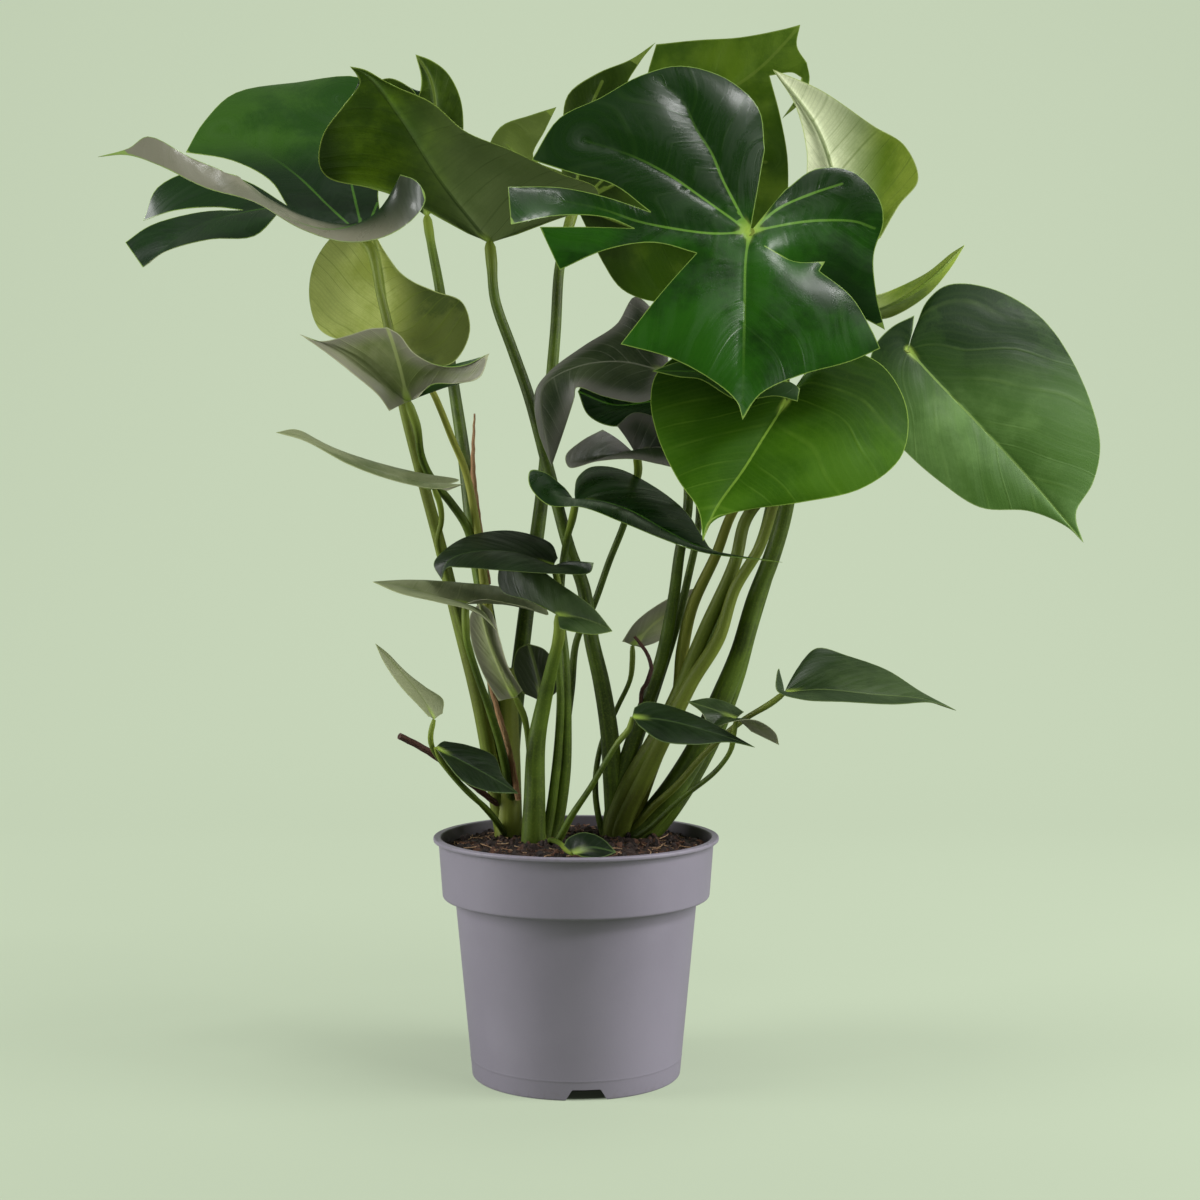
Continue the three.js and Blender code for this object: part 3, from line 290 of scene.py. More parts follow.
# %% Leaf points, front and right
LEAVES = {
    "leaf_front_main": {
        "join": [139, -80, 692], "up": [0, -1, 0.4], "fan": [23, 10],
        "rib": [[135, -89, 672], [132, -113, 619], [128, -151, 539]],
        "edge_a": [[153, -49, 763], [149, -33, 800], [123, -21, 827], [86, -17, 838], [53, -21, 829],
            [20, -29, 809], [-13, -37, 791], [-35, -53, 754, 1], [0, -58, 742], [30, -62, 733],
            [60, -72, 709, 1], [24, -67, 722], [-12, -63, 730], [-53, -77, 728, 1], [-50, -91, 696, 1],
            [-12, -74, 706], [26, -75, 704], [47, -78, 695, 1], [12, -73, 697], [-28, -74, 697, 1],
            [-12, -80, 662, 1], [25, -87, 677], [63, -84, 683], [96, -88, 674, 1], [67, -104, 640],
            [36, -123, 599, 1], [74, -128, 588], [106, -136, 570], [124, -145, 553]],
        "edge_b": [[168, -64, 728], [193, -56, 746], [221, -56, 745], [242, -67, 722], [245, -76, 700],
            [237, -79, 674], [239, -82, 642], [245, -87, 614, 1], [211, -78, 635], [175, -79, 666],
            [150, -85, 680, 2], [173, -91, 667], [197, -91, 667, 1], [192, -95, 659, 1], [215, -108, 638],
            [229, -122, 611], [235, -130, 595, 1], [212, -129, 585], [173, -134, 574], [142, -142, 559]],
    },
    "leaf_front_low": {
        "join": [168, -85, 558], "up": [0, -1, 0.4], "fan": [3, 2],
        "rib": [[150, -97, 531], [132, -109, 503], [109, -123, 471], [99, -134, 447]],
        "edge_a": [[157, -76, 580], [128, -68, 598], [92, -67, 600], [66, -75, 582], [60, -85, 559],
            [66, -99, 527], [80, -112, 496], [96, -123, 471]],
        "edge_b": [[183, -83, 581], [212, -67, 600], [242, -71, 590], [259, -82, 565], [263, -93, 539],
            [254, -106, 511], [223, -116, 488], [175, -121, 477], [132, -123, 471], [105, -127, 463]],
    },
    "leaf_front_between": {
        "join": [166, -92, 574], "up": [0, -0.6, 0.8], "fan": [2, 2],
        "rib": [[138, -98, 575], [102, -102, 579], [61, -104, 580]],
        "edge_a": [[177, -96, 567], [174, -108, 556, 1], [157, -110, 560], [127, -112, 557],
            [98, -110, 573], [82, -108, 575]],
        "edge_b": [[180, -86, 579], [171, -82, 591], [139, -86, 595], [103, -92, 593], [79, -99, 587]],
    },
    "leaf_right_low": {
        "join": [270, -45, 603], "up": [-0.2, -1, 0.4], "fan": [4, 2],
        "rib": [[287, -49, 583], [325, -56, 542], [371, -66, 490], [406, -75, 446]],
        "edge_a": [[274, -42, 618], [276, -39, 631, 1], [257, -41, 621], [242, -46, 604], [237, -50, 574],
            [247, -62, 541], [265, -66, 519], [293, -70, 494], [324, -73, 474], [364, -71, 471],
            [394, -73, 458]],
        "edge_b": [[276, -41, 618], [287, -33, 643], [305, -30, 657], [341, -29, 654], [380, -32, 631],
            [408, -40, 588], [424, -54, 529], [417, -62, 495], [401, -70, 469]],
    },
    "leaf_new_rolled": {
        "join": [229, -10, 632], "up": [0, 1, 0.4], "fan": [1, 1],
        "rib": [[257, -32, 640], [289, -34, 660], [319, -28, 690]],
        "edge_a": [[243, -6, 650], [262, -2, 656], [293, -6, 671], [309, -16, 684]],
        "edge_b": [[243, -8, 631], [261, -6, 633], [290, -10, 650], [308, -20, 671]],
    },
}
print("leaves so far:", len(LEAVES))

# %% Leaf points, behind and tall at the left
LEAVES.update({
    "leaf_back_large": {
        "join": [-2, 110, 747], "up": [0, 1, 0.5], "fan": [9, 4],
        "rib": [[64, 80, 798], [152, 46, 848], [177, 32, 870], [189, 25, 883]],
        "edge_a": [[-27, 119, 733], [-65, 114, 756], [-80, 102, 787], [-68, 90, 811], [-41, 83, 820],
            [-18, 78, 826, 1], [-28, 87, 808], [-39, 98, 786], [-14, 100, 774, 1], [-13, 85, 808],
            [-8, 72, 835], [17, 62, 851], [46, 54, 861], [67, 33, 870, 1], [53, 55, 857], [43, 65, 838],
            [65, 72, 815, 1], [60, 60, 843], [68, 46, 872, 1], [103, 40, 874], [139, 35, 875],
            [176, 27, 880]],
        "edge_b": [[11, 119, 721], [22, 127, 699], [40, 135, 675], [70, 136, 664], [115, 130, 667],
            [156, 114, 691], [182, 93, 735], [184, 75, 775], [176, 59, 812], [165, 45, 845, 1],
            [184, 42, 847], [192, 43, 843, 1], [188, 44, 827], [176, 47, 809, 1], [193, 45, 824],
            [199, 43, 841], [196, 37, 854, 1], [187, 32, 867]],
    },
    "leaf_back_pale": {
        "join": [238, 75, 691], "up": [0, 1, 0.4], "fan": [1, 1],
        "rib": [[225, 57, 750], [204, 41, 802], [166, 27, 846]],
        "edge_a": [[213, 70, 709], [199, 60, 742], [197, 47, 782], [186, 36, 818]],
        "edge_b": [[264, 69, 711], [279, 61, 738], [294, 54, 758], [281, 46, 786], [253, 41, 802],
            [207, 32, 830]],
    },
    "leaf_left_upright": {
        "join": [-74, 35, 701], "up": [-0.2, 1, 0.6], "fan": [2, 2],
        "rib": [[-113, -5, 747], [-142, -43, 790], [-165, -69, 817], [-178, -76, 823]],
        "edge_a": [[-92, 28, 708], [-117, 15, 720], [-139, 4, 731], [-171, -7, 740], [-203, -16, 746],
            [-210, -25, 755], [-205, -41, 776], [-185, -56, 798], [-171, -66, 813]],
        "edge_b": [[-51, 33, 708], [-12, 29, 722], [18, 24, 732], [17, 15, 744], [-13, 4, 754],
            [-54, -14, 770], [-90, -29, 782], [-116, -48, 801], [-147, -62, 812], [-166, -73, 821]],
    },
    "leaf_far_left": {
        "join": [-177, 0, 697], "up": [0.1, -0.6, 1], "fan": [8, 4],
        "rib": [[-212, -5, 709], [-243, 0, 724], [-280, 2, 721], [-321, -5, 706], [-359, -10, 674]],
        "edge_a": [[-158, -20, 718], [-151, -32, 730], [-141, -50, 743, 1], [-129, -45, 739],
            [-122, -38, 727], [-129, -50, 709], [-152, -68, 690], [-182, -80, 684], [-216, -90, 693],
            [-250, -100, 712], [-287, -105, 722], [-321, -110, 738], [-346, -112, 746],
            [-368, -115, 744, 1], [-346, -108, 752], [-332, -104, 762], [-300, -98, 747],
            [-264, -85, 733], [-243, -20, 719, 1], [-263, -28, 697], [-299, -30, 694], [-337, -24, 685]],
        "edge_b": [[-164, 8, 721], [-168, 30, 745], [-163, 60, 776], [-157, 100, 824], [-195, 130, 864],
            [-255, 140, 862], [-306, 120, 848], [-329, 95, 817], [-340, 70, 785, 1], [-296, 50, 774],
            [-260, 28, 753], [-242, 6, 728, 1], [-282, 35, 754], [-323, 45, 765], [-359, 45, 750],
            [-370, 40, 721, 1], [-340, 25, 727], [-304, 15, 728], [-279, 6, 724, 1], [-316, 15, 724],
            [-357, 10, 712], [-377, 5, 697, 1]],
    },
    "leaf_back_left": {
        "join": [-139, 164, 745], "up": [0, 1, 0.4], "fan": [1, 1],
        "rib": [[-136, 153, 792], [-129, 142, 839], [-134, 136, 867], [-146, 131, 885]],
        "edge_a": [[-157, 161, 758], [-179, 154, 788], [-191, 145, 826], [-185, 138, 859],
            [-170, 136, 865], [-152, 138, 857], [-144, 140, 847, 1], [-141, 136, 864]],
        "edge_b": [[-121, 160, 762], [-109, 153, 792], [-104, 146, 825], [-107, 140, 850],
            [-118, 135, 870], [-132, 132, 880]],
    },
})
print("leaves so far:", len(LEAVES))

# %% Leaf points, left and middle
LEAVES.update({
    "leaf_left_pale": {
        "join": [-159, 20, 626], "up": [0, 1, 0.3], "fan": [2, 3],
        "rib": [[-163, 24, 660], [-168, 28, 690], [-174, 30, 713]],
        "edge_a": [[-179, 19, 615], [-199, 19, 617], [-217, 20, 626], [-226, 23, 651], [-223, 26, 681],
            [-207, 29, 706], [-191, 30, 715]],
        "edge_b": [[-145, 18, 609], [-123, 16, 595], [-104, 17, 598], [-90, 20, 624], [-97, 23, 650],
            [-120, 24, 659], [-145, 25, 671], [-160, 27, 689]],
    },
    "leaf_left_cupped": {
        "join": [-138, -25, 562], "up": [0, 1, 0.6], "fan": [3, 3],
        "rib": [[-142, -39, 585], [-148, -43, 607], [-153, -41, 621]],
        "edge_a": [[-153, -29, 554, 1], [-161, -35, 566], [-183, -45, 585], [-202, -52, 600],
            [-222, -55, 614, 1], [-207, -50, 609], [-185, -45, 614], [-167, -42, 620]],
        "edge_b": [[-129, -31, 565], [-117, -41, 575], [-96, -51, 575], [-77, -58, 579],
            [-69, -61, 598, 1], [-89, -53, 589], [-110, -49, 589], [-131, -45, 600], [-143, -42, 615]],
    },
    "leaf_left_narrow": {
        "join": [-116, -35, 490], "up": [0, -0.2, 1], "fan": [1, 1],
        "rib": [[-139, -43, 497], [-183, -49, 512], [-223, -51, 532], [-242, -53, 535]],
        "edge_a": [[-104, -46, 488], [-91, -61, 493], [-108, -73, 489], [-139, -77, 494],
            [-180, -69, 508], [-218, -59, 528]],
        "edge_b": [[-105, -26, 494], [-97, -15, 498], [-130, -11, 504], [-167, -15, 513],
            [-202, -27, 525], [-227, -43, 538]],
    },
    "leaf_mid_dark_left": {
        "join": [-18, -35, 427], "up": [0, -0.3, 1], "fan": [2, 3],
        "rib": [[-50, -35, 438], [-87, -35, 438], [-105, -35, 430], [-110, -35, 416]],
        "edge_a": [[-15, -17, 433], [-22, 1, 446], [-54, 11, 456], [-89, 3, 452], [-109, -13, 440],
            [-117, -27, 428]],
        "edge_b": [[0, -50, 431], [15, -67, 430, 1], [12, -65, 422], [-12, -73, 421], [-60, -79, 424],
            [-93, -61, 426], [-105, -45, 425]],
    },
    "leaf_mid_left_long": {
        "join": [-90, -40, 396], "up": [0, -0.3, 1], "fan": [3, 3],
        "rib": [[-119, -42, 404], [-143, -42, 411], [-166, -40, 414]],
        "edge_a": [[-74, -48, 389], [-63, -62, 375, 1], [-78, -72, 390], [-108, -74, 398],
            [-141, -62, 405]],
        "edge_b": [[-71, -44, 400], [-42, -28, 393], [-23, -10, 386], [-35, 4, 401], [-66, 12, 409],
            [-95, 6, 412], [-133, -18, 415]],
    },
    "leaf_mid_front": {
        "join": [-14, -55, 387], "up": [-0.3, -0.2, 1], "fan": [3, 1],
        "rib": [[0, -59, 386], [17, -65, 381], [30, -69, 375]],
        "edge_a": [[-39, -43, 399], [-61, -31, 406], [-64, -27, 420], [-58, -31, 433], [-39, -37, 430],
            [-13, -47, 413], [14, -59, 394]],
        "edge_b": [[-12, -75, 377], [0, -85, 375], [14, -83, 373], [25, -75, 374]],
    },
    "leaf_hanging_pale": {
        "join": [-51, 0, 316], "up": [-0.2, 1, 0.3], "fan": [1, 1],
        "rib": [[-61, -4, 335], [-73, -2, 364], [-81, 0, 396]],
        "edge_a": [[-45, 0, 322], [-57, -6, 343], [-64, -4, 366], [-71, 0, 388]],
        "edge_b": [[-65, 0, 313], [-78, 2, 335], [-88, 2, 363], [-89, 2, 385]],
    },
    "leaf_low_left_curl": {
        "join": [-116, -40, 301], "up": [0.3, -0.1, 1], "fan": [1, 1],
        "rib": [[-124, -45, 318], [-141, -50, 340], [-156, -50, 357], [-163, -48, 364]],
        "edge_a": [[-110, -28, 305], [-110, -22, 316], [-124, -28, 327], [-140, -38, 341],
            [-153, -46, 356]],
        "edge_b": [[-119, -55, 305], [-126, -62, 314], [-141, -62, 330], [-155, -56, 349]],
    },
    "leaf_low_left_folded": {
        "join": [-114, -50, 279], "up": [-0.2, -0.5, 1], "fan": [1, 1],
        "rib": [[-90, -45, 266], [-66, -40, 252], [-47, -38, 240]],
        "edge_a": [[-108, -35, 283], [-89, -22, 278], [-68, -15, 268], [-61, -22, 253]],
        "edge_b": [[-103, -65, 267], [-91, -72, 255], [-71, -62, 245]],
    },
})
print("leaves so far:", len(LEAVES))

# %% Leaf points, centre and low at the right
LEAVES.update({
    "leaf_centre_heart": {
        "join": [0, -35, 478], "up": [0, -0.4, 1], "fan": [3, 3],
        "rib": [[13, -36, 481], [43, -42, 473], [75, -45, 455], [105, -48, 441], [168, -50, 430]],
        "edge_a": [[-1, -15, 488], [1, 0, 500], [13, 15, 510], [34, 18, 509], [64, 5, 494],
            [91, -15, 472], [104, -35, 451], [114, -46, 438]],
        "edge_b": [[-9, -40, 491], [-23, -49, 502], [-36, -62, 504], [-36, -72, 491], [-21, -80, 476],
            [6, -82, 474], [38, -80, 462], [70, -70, 449], [103, -55, 438]],
    },
    "leaf_mid_grey": {
        "join": [51, 0, 518], "up": [0, -0.5, 1], "fan": [3, 1],
        "rib": [[66, -6, 525], [82, -12, 521], [98, -20, 512]],
        "edge_a": [[22, -25, 539], [5, -40, 529], [-8, -50, 516], [-5, -52, 507], [18, -50, 512],
            [46, -45, 514], [68, -42, 510], [86, -33, 507]],
        "edge_b": [[34, 2, 544], [48, 7, 555], [66, 2, 551], [82, -8, 536]],
    },
    "leaf_mid_black": {
        "join": [96, 23, 568], "up": [0, -0.5, 1], "fan": [1, 1],
        "rib": [[66, 27, 566], [33, 31, 563], [1, 35, 575]],
        "edge_a": [[96, 31, 585], [71, 43, 597], [37, 47, 598], [11, 43, 590]],
        "edge_b": [[79, 13, 555], [55, 9, 548], [30, 13, 544], [10, 23, 554]],
    },
    "leaf_behind_main": {
        "join": [76, -25, 586], "up": [-0.2, -0.4, 1], "fan": [2, 1],
        "rib": [[36, -25, 595], [-1, -25, 590], [-27, -29, 573], [-20, -17, 509]],
        "edge_a": [[77, -5, 611], [64, 5, 641], [49, 8, 652], [34, 5, 629], [6, 0, 610], [-22, -10, 588],
            [-34, -20, 569], [-31, -15, 538]],
        "edge_b": [[65, -50, 563], [52, -55, 559], [24, -52, 564], [1, -45, 572], [-1, -37, 564],
            [-9, -25, 540]],
    },
    "leaf_small_behind": {
        "join": [48, 45, 357], "up": [0, -0.4, 1], "fan": [1, 1],
        "rib": [[65, 55, 375], [90, 60, 392], [109, 62, 408]],
        "edge_a": [[39, 40, 361], [50, 45, 377], [68, 51, 391], [91, 57, 403]],
        "edge_b": [[55, 55, 355], [71, 66, 360], [92, 72, 376], [105, 67, 393]],
    },
    "leaf_low_right_dark": {
        "join": [46, -60, 305], "up": [0, -0.4, 1], "fan": [1, 1],
        "rib": [[72, -63, 303], [110, -65, 293], [145, -65, 281]],
        "edge_a": [[48, -52, 312], [58, -44, 316], [79, -42, 312], [108, -50, 301], [132, -58, 288]],
        "edge_b": [[51, -70, 299], [68, -82, 288], [95, -82, 285], [124, -74, 286]],
    },
    "leaf_low_right_small": {
        "join": [132, -35, 301], "up": [0, -0.4, 1], "fan": [4, 1],
        "rib": [[118, -35, 307], [92, -31, 315]],
        "edge_a": [[144, -36, 291], [167, -37, 280, 1], [163, -45, 291], [146, -53, 302], [127, -57, 301],
            [109, -47, 293, 1], [104, -47, 306]],
        "edge_b": [[139, -25, 306], [129, -17, 312], [112, -19, 317]],
    },
    "leaf_low_right_long": {
        "join": [171, -40, 323], "up": [0, -0.4, 1], "fan": [3, 4],
        "rib": [[200, -42, 326], [242, -44, 322], [285, -44, 318], [311, -44, 309]],
        "edge_a": [[180, -25, 335], [189, -12, 348], [202, -5, 358], [228, 0, 351], [259, -10, 340],
            [285, -30, 323]],
        "edge_b": [[167, -46, 335], [165, -55, 344], [162, -66, 338], [162, -74, 327], [181, -82, 321],
            [215, -80, 319], [256, -68, 316], [290, -52, 316]],
    },
    "leaf_rim_front": {
        "join": [-2, -84, 198], "up": [0, -0.5, 1], "fan": [1, 1],
        "rib": [[12, -90, 204], [33, -96, 201]],
        "edge_a": [[-9, -82, 204], [-6, -78, 209], [6, -78, 214], [20, -82, 211]],
        "edge_b": [[6, -94, 197], [20, -98, 197]],
    },
    "leaf_behind_stems": {
        "join": [-27, 15, 310], "up": [0, 1, 0.3], "fan": [1, 1],
        "rib": [[-31, 19, 325], [-36, 23, 344], [-41, 27, 360]],
        "edge_a": [[-46, 20, 318], [-54, 23, 339], [-50, 25, 355]],
        "edge_b": [[-16, 15, 320], [-17, 19, 340], [-27, 24, 355]],
    },
})
print("leaves:", len(LEAVES))

# %% [markdown]
# The stalks run from the joins of their blades down to the crowns. Each has its radii under the
# blade, halfway and at the foot, and the points of its path below the join. Roots and sheaths are
# written the same way, with all their points.

# %% Stalk points
CROWNS = {
    "stems_left": {"foot": [-59, 42], "radius": [13, 10.5], "top": 338, "stalks": {
        "leaf_far_left": ([3.6, 4.6, 8], [[-170, -4, 689], [-163, -8, 656], [-156, -8, 626],
            [-149, -4, 590], [-144, 0, 560], [-132, 8, 509], [-115, 22, 441], [-104, 26, 393],
            [-84, 30, 311], [-73, 36, 251], [-64, 42, 198]]),
        "leaf_left_cupped": ([3, 3.6, 5], [[-131, -20, 541], [-129, -10, 520], [-124, 5, 504],
            [-117, 15, 493], [-107, 28, 480], [-94, 40, 459], [-87, 45, 431], [-78, 45, 379],
            [-64, 42, 250]]),
        "leaf_left_pale": ([2.4, 3, 5], [[-148, 8, 608], [-132, -2, 588], [-121, -2, 574], [-114, 8, 558],
            [-106, 20, 536], [-95, 35, 507], [-85, 40, 455], [-80, 42, 414], [-73, 42, 362],
            [-64, 42, 276]]),
        "leaf_back_left": ([3.4, 6, 9], [[-134, 146, 720], [-124, 121, 674], [-109, 85, 585],
            [-99, 68, 525], [-90, 55, 455], [-80, 48, 397], [-71, 45, 336], [-59, 42, 198]]),
        "leaf_back_large": ([4.0, 5.5, 9], [[-10, 100, 718], [-16, 92, 686], [-19, 86, 635],
            [-22, 82, 597], [-28, 76, 517], [-32, 72, 476], [-44, 60, 387], [-56, 45, 276],
            [-59, 42, 207]]),
        "leaf_left_narrow": ([2, 2.4, 3], [[-112, -28, 479], [-111, -20, 465], [-115, -10, 448],
            [-112, 2, 431], [-101, 20, 387], [-87, 27, 325]]),
        "leaf_mid_left_long": ([2.6, 3, 4.5], [[-90, -40, 383], [-89, -36, 366], [-83, -22, 341],
            [-73, -5, 308], [-63, 15, 269], [-56, 38, 216]]),
        "leaf_low_left_curl": ([1.8, 2.2, 3], [[-119, -38, 288], [-118, -32, 277], [-107, -15, 257],
            [-92, 0, 237], [-74, 18, 217], [-62, 35, 194]]),
        "leaf_low_left_folded": ([1.8, 2.2, 3], [[-110, -45, 269], [-99, -28, 251], [-84, -8, 232],
            [-68, 15, 209], [-61, 35, 192]]),
    }},
    "stems_centre": {"foot": [-35, 3], "radius": [13, 10], "top": 228, "stalks": {
        "leaf_mid_front": ([3, 7, 12.5], [[-13, -50, 373], [-19, -35, 346], [-26, -20, 316],
            [-33, -12, 279], [-35, -5, 229], [-36, 2, 190]]),
        "leaf_centre_heart": ([2.6, 3.4, 6], [[-3, -22, 465], [-8, -8, 447], [-12, 0, 420],
            [-13, -2, 389], [-9, -2, 348], [-8, 2, 297], [-10, 8, 246], [-20, 10, 196]]),
        "leaf_mid_dark_left": ([2.2, 3, 5], [[-15, -28, 414], [-14, -24, 390], [-15, -15, 357],
            [-13, -8, 315], [-17, 0, 255], [-26, 5, 197]]),
        "leaf_mid_grey": ([3, 3, 5], [[52, 16, 504], [41, 38, 463], [28, 45, 430], [14, 48, 391],
            [0, 48, 362], [-5, 45, 319], [-11, 40, 276], [-18, 30, 226], [-26, 18, 193]]),
        "leaf_hanging_pale": ([2.2, 2.6, 4], [[-44, 4, 300], [-40, 6, 275], [-37, 5, 229]]),
        "leaf_behind_stems": ([2.2, 2.6, 4], [[-29, 14, 283], [-32, 10, 228]]),
        "leaf_low_right_dark": ([1.8, 2.6, 4.5], [[44, -58, 296], [34, -54, 283], [12, -40, 245],
            [-3, -28, 221], [-17, -12, 194], [-25, 0, 186]]),
        "leaf_rim_front": ([1.8, 2.2, 3], [[-7, -70, 199], [-14, -40, 200], [-23, -12, 197],
            [-29, 0, 190]]),
    }},
    "stems_right": {"foot": [36, 34], "radius": [16, 12], "top": 232, "stalks": {
        "leaf_left_upright": ([4, 5.5, 10], [[-72, 28, 684], [-69, 26, 652], [-54, 25, 609],
            [-40, 24, 569], [-24, 22, 509], [-6, 20, 441], [6, 19, 408], [13, 20, 363], [21, 22, 328],
            [28, 26, 284], [31, 30, 243], [34, 35, 199]]),
        "leaf_behind_main": ([3, 5, 9], [[82, -8, 575], [92, 5, 524], [94, 8, 476], [87, 10, 437],
            [82, 12, 398], [71, 15, 343], [59, 20, 308], [41, 28, 252], [30, 35, 199]]),
        "leaf_mid_black": ([2.6, 3.4, 6], [[101, 24, 545], [104, 23, 465], [95, 22, 417], [85, 24, 376],
            [67, 26, 320], [46, 30, 256]]),
        "leaf_new_rolled": ([2.4, 4.5, 7], [[219, 2, 611], [188, 10, 549], [155, 12, 503], [132, 12, 472],
            [118, 12, 436], [98, 14, 392], [90, 18, 355], [86, 22, 312], [63, 30, 251]]),
        "leaf_right_low": ([3.6, 5.5, 10], [[266, -32, 594], [239, -15, 556], [195, -5, 515],
            [158, -2, 486], [142, 0, 465], [133, 0, 429], [109, 2, 374], [82, 8, 309], [67, 12, 279],
            [44, 22, 237], [31, 32, 194]]),
        "leaf_front_low": ([3.4, 5, 10], [[173, -72, 548], [174, -50, 521], [164, -28, 481],
            [152, -18, 442], [132, -12, 407], [119, -8, 366], [97, 0, 330], [80, 5, 296], [58, 15, 249],
            [37, 28, 200]]),
        "leaf_front_between": ([1.8, 2.4, 3.6], [[169, -76, 580], [171, -54, 574], [170, -38, 546],
            [163, -24, 500], [153, -14, 450], [130, -6, 400], [97, 4, 330], [50, 18, 240]]),
        "leaf_front_main": ([4.2, 7.5, 12], [[143, -62, 682], [154, -42, 643], [173, -20, 564],
            [180, -8, 515], [175, 0, 473], [165, 5, 436], [151, 8, 398], [138, 12, 352], [123, 15, 315],
            [105, 20, 274], [82, 26, 235], [59, 33, 204]]),
        "leaf_back_pale": ([3.6, 6, 10], [[234, 65, 657], [214, 50, 586], [192, 40, 521], [176, 34, 465],
            [164, 32, 423], [148, 32, 371], [136, 34, 328], [116, 36, 277], [89, 38, 229],
            [67, 40, 200]]),
        "leaf_low_right_long": ([2, 2.8, 4], [[160, -36, 314], [138, -25, 299], [110, -8, 272],
            [84, 8, 240], [62, 20, 218], [44, 30, 193]]),
        "leaf_low_right_small": ([1.8, 2.2, 3.2], [[130, -34, 289], [128, -29, 275], [116, -18, 256],
            [88, -2, 231], [62, 15, 204], [41, 28, 187]]),
        "leaf_small_behind": ([2, 2.2, 3.2], [[48, 44, 345], [46, 43, 328], [35, 42, 304], [21, 40, 272],
            [16, 38, 233], [23, 36, 195]]),
    }},
}
print("crowns:", len(CROWNS), "stalks:", sum(len(crown["stalks"]) for crown in CROWNS.values()))

# %% Points of roots and sheaths
BROWN = {
    "root_right": ([1.4, 1.9, 1.7], [[49, 6, 367], [57, 3, 357], [63, 0, 343], [60, 2, 330], [55, 8, 320],
        [55, 18, 306]]),
    "root_left": ([2.8, 3, 2.6], [[-146, -24, 286], [-130, -12, 276], [-114, -2, 264], [-94, 10, 246],
        [-68, 35, 221]]),
    "sheath_spike": ([0.8, 2.8, 3.2], [[-89, 62, 558], [-90, 58, 509], [-84, 50, 455], [-77, 48, 410]]),
    "sheath_papery": ([1.2, 3, 2.6], [[-78, 22, 339], [-66, 22, 299], [-56, 24, 260], [-50, 30, 226]]),
}
print("roots and sheaths:", ", ".join(BROWN))

# %% [markdown]
# ## Curves through listed points
#
# A leaf's midrib and its two margins are smooth curves through a few points, broken only at the
# sharp corners of cuts and tips. The centripetal kind is used because it never loops between two
# close points. It is the curve that the solids have too, so both agree.

# %% Smooth curves
def as_points(rows):
    """Rows of a table as points; a fourth value is left out."""
    return [np.array(row[:3], float) for row in rows]


def rib_points(leaf):
    """The points of a midrib, from the join to the tip."""
    return as_points([leaf["join"]] + leaf["rib"])


def edge_rows(leaf, side):
    """The rows of a margin, with the tip that it shares with the midrib."""
    return leaf["edge_" + side] + [leaf["rib"][-1]]


def curve_point(points, place):
    """A point of a centripetal curve through points, at a point number with a fraction."""
    first = min(int(place), len(points) - 2)
    share = place - first
    p1, p2 = points[first], points[first + 1]
    p0 = points[first - 1] if first > 0 else 2 * p1 - p2
    p3 = points[first + 2] if first + 2 < len(points) else 2 * p2 - p1
    d0, d1, d2 = (max(np.linalg.norm(b - a), 1e-4) ** 0.5 for a, b in ((p0, p1), (p1, p2), (p2, p3)))
    t1 = ((p1 - p0) / d0 - (p2 - p0) / (d0 + d1) + (p2 - p1) / d1) * d1
    t2 = ((p2 - p1) / d1 - (p3 - p1) / (d1 + d2) + (p3 - p2) / d2) * d1
    cubic = (2 * p1 - 2 * p2 + t1 + t2) * share ** 3
    return p1 + t1 * share + (3 * p2 - 3 * p1 - 2 * t1 - t2) * share ** 2 + cubic


def sampled(points, count):
    """So many points of the curve through points, even in point numbers."""
    return np.array([curve_point(points, s) for s in np.linspace(0, len(points) - 1, count)])


def margin_curve(rows):
    """The curve through a margin's points, broken at those with a fourth value."""
    points = as_points(rows)
    breaks = [i for i, row in enumerate(rows) if len(row) > 3 or i in (0, len(rows) - 1)]

    def at(place):
        """The point at a place between its two breaks."""
        start = max(b for b in breaks[:-1] if b <= place or b == 0)
        end = min(b for b in breaks if b > start)
        return curve_point(points[start:end + 1], place - start)
    return at


front_rib = rib_points(LEAVES["leaf_front_main"])
print("middle of the large front leaf's midrib:", curve_point(front_rib, 1.5).round(1))

# %% Lengths and distances
NEAREST_CHUNK = 400


def lengths_along(points):
    """How far each point of a polyline lies from its first."""
    steps = np.linalg.norm(np.diff(points, axis=0), axis=1)
    return np.concatenate([[0], np.cumsum(steps)])


def resampled(points, spacing):
    """A polyline with points at an even spacing."""
    runs = lengths_along(points)
    places = np.linspace(0, runs[-1], max(int(runs[-1] / spacing), 1) + 1)
    return np.stack([np.interp(places, runs, points[:, k]) for k in range(3)], axis=1)


def distance_to(points, line):
    """Each point's distance to the nearest point of a finely sampled line."""
    nearest = np.full(len(points), np.inf)
    for start in range(0, len(line), NEAREST_CHUNK):
        gaps = points[:, None, :] - line[None, start:start + NEAREST_CHUNK, :]
        nearest = np.minimum(nearest, np.sqrt((gaps ** 2).sum(axis=2).min(axis=1)))
    return nearest


print("length of the large front leaf's midrib:", round(lengths_along(front_rib)[-1]), "mm")

# %% [markdown]
# ## Whole blades
#
# A young leaf is one sheet on both sides of its midrib. Each half could be modelled by hand, but a
# rule is truer: veins run from the midrib to the margin, those of the basal lobes from the join, and
# the blade arches a little between. So each half is a grid whose columns are the veins. Every point
# also keeps three measures for the finishes: how far along the midrib its vein starts, how far it
# lies off the midrib, and how far it lies from the margin.

# %% Columns of a half
COLUMNS, CORNER_CLEARANCE = 52, 0.009
FAN_STEPS, FAN_RUN = 6, 0.3
RUN_SAMPLES = 80


def unit(vector):
    """A vector of length one."""
    vector = np.array(vector, float)
    return vector / np.linalg.norm(vector)


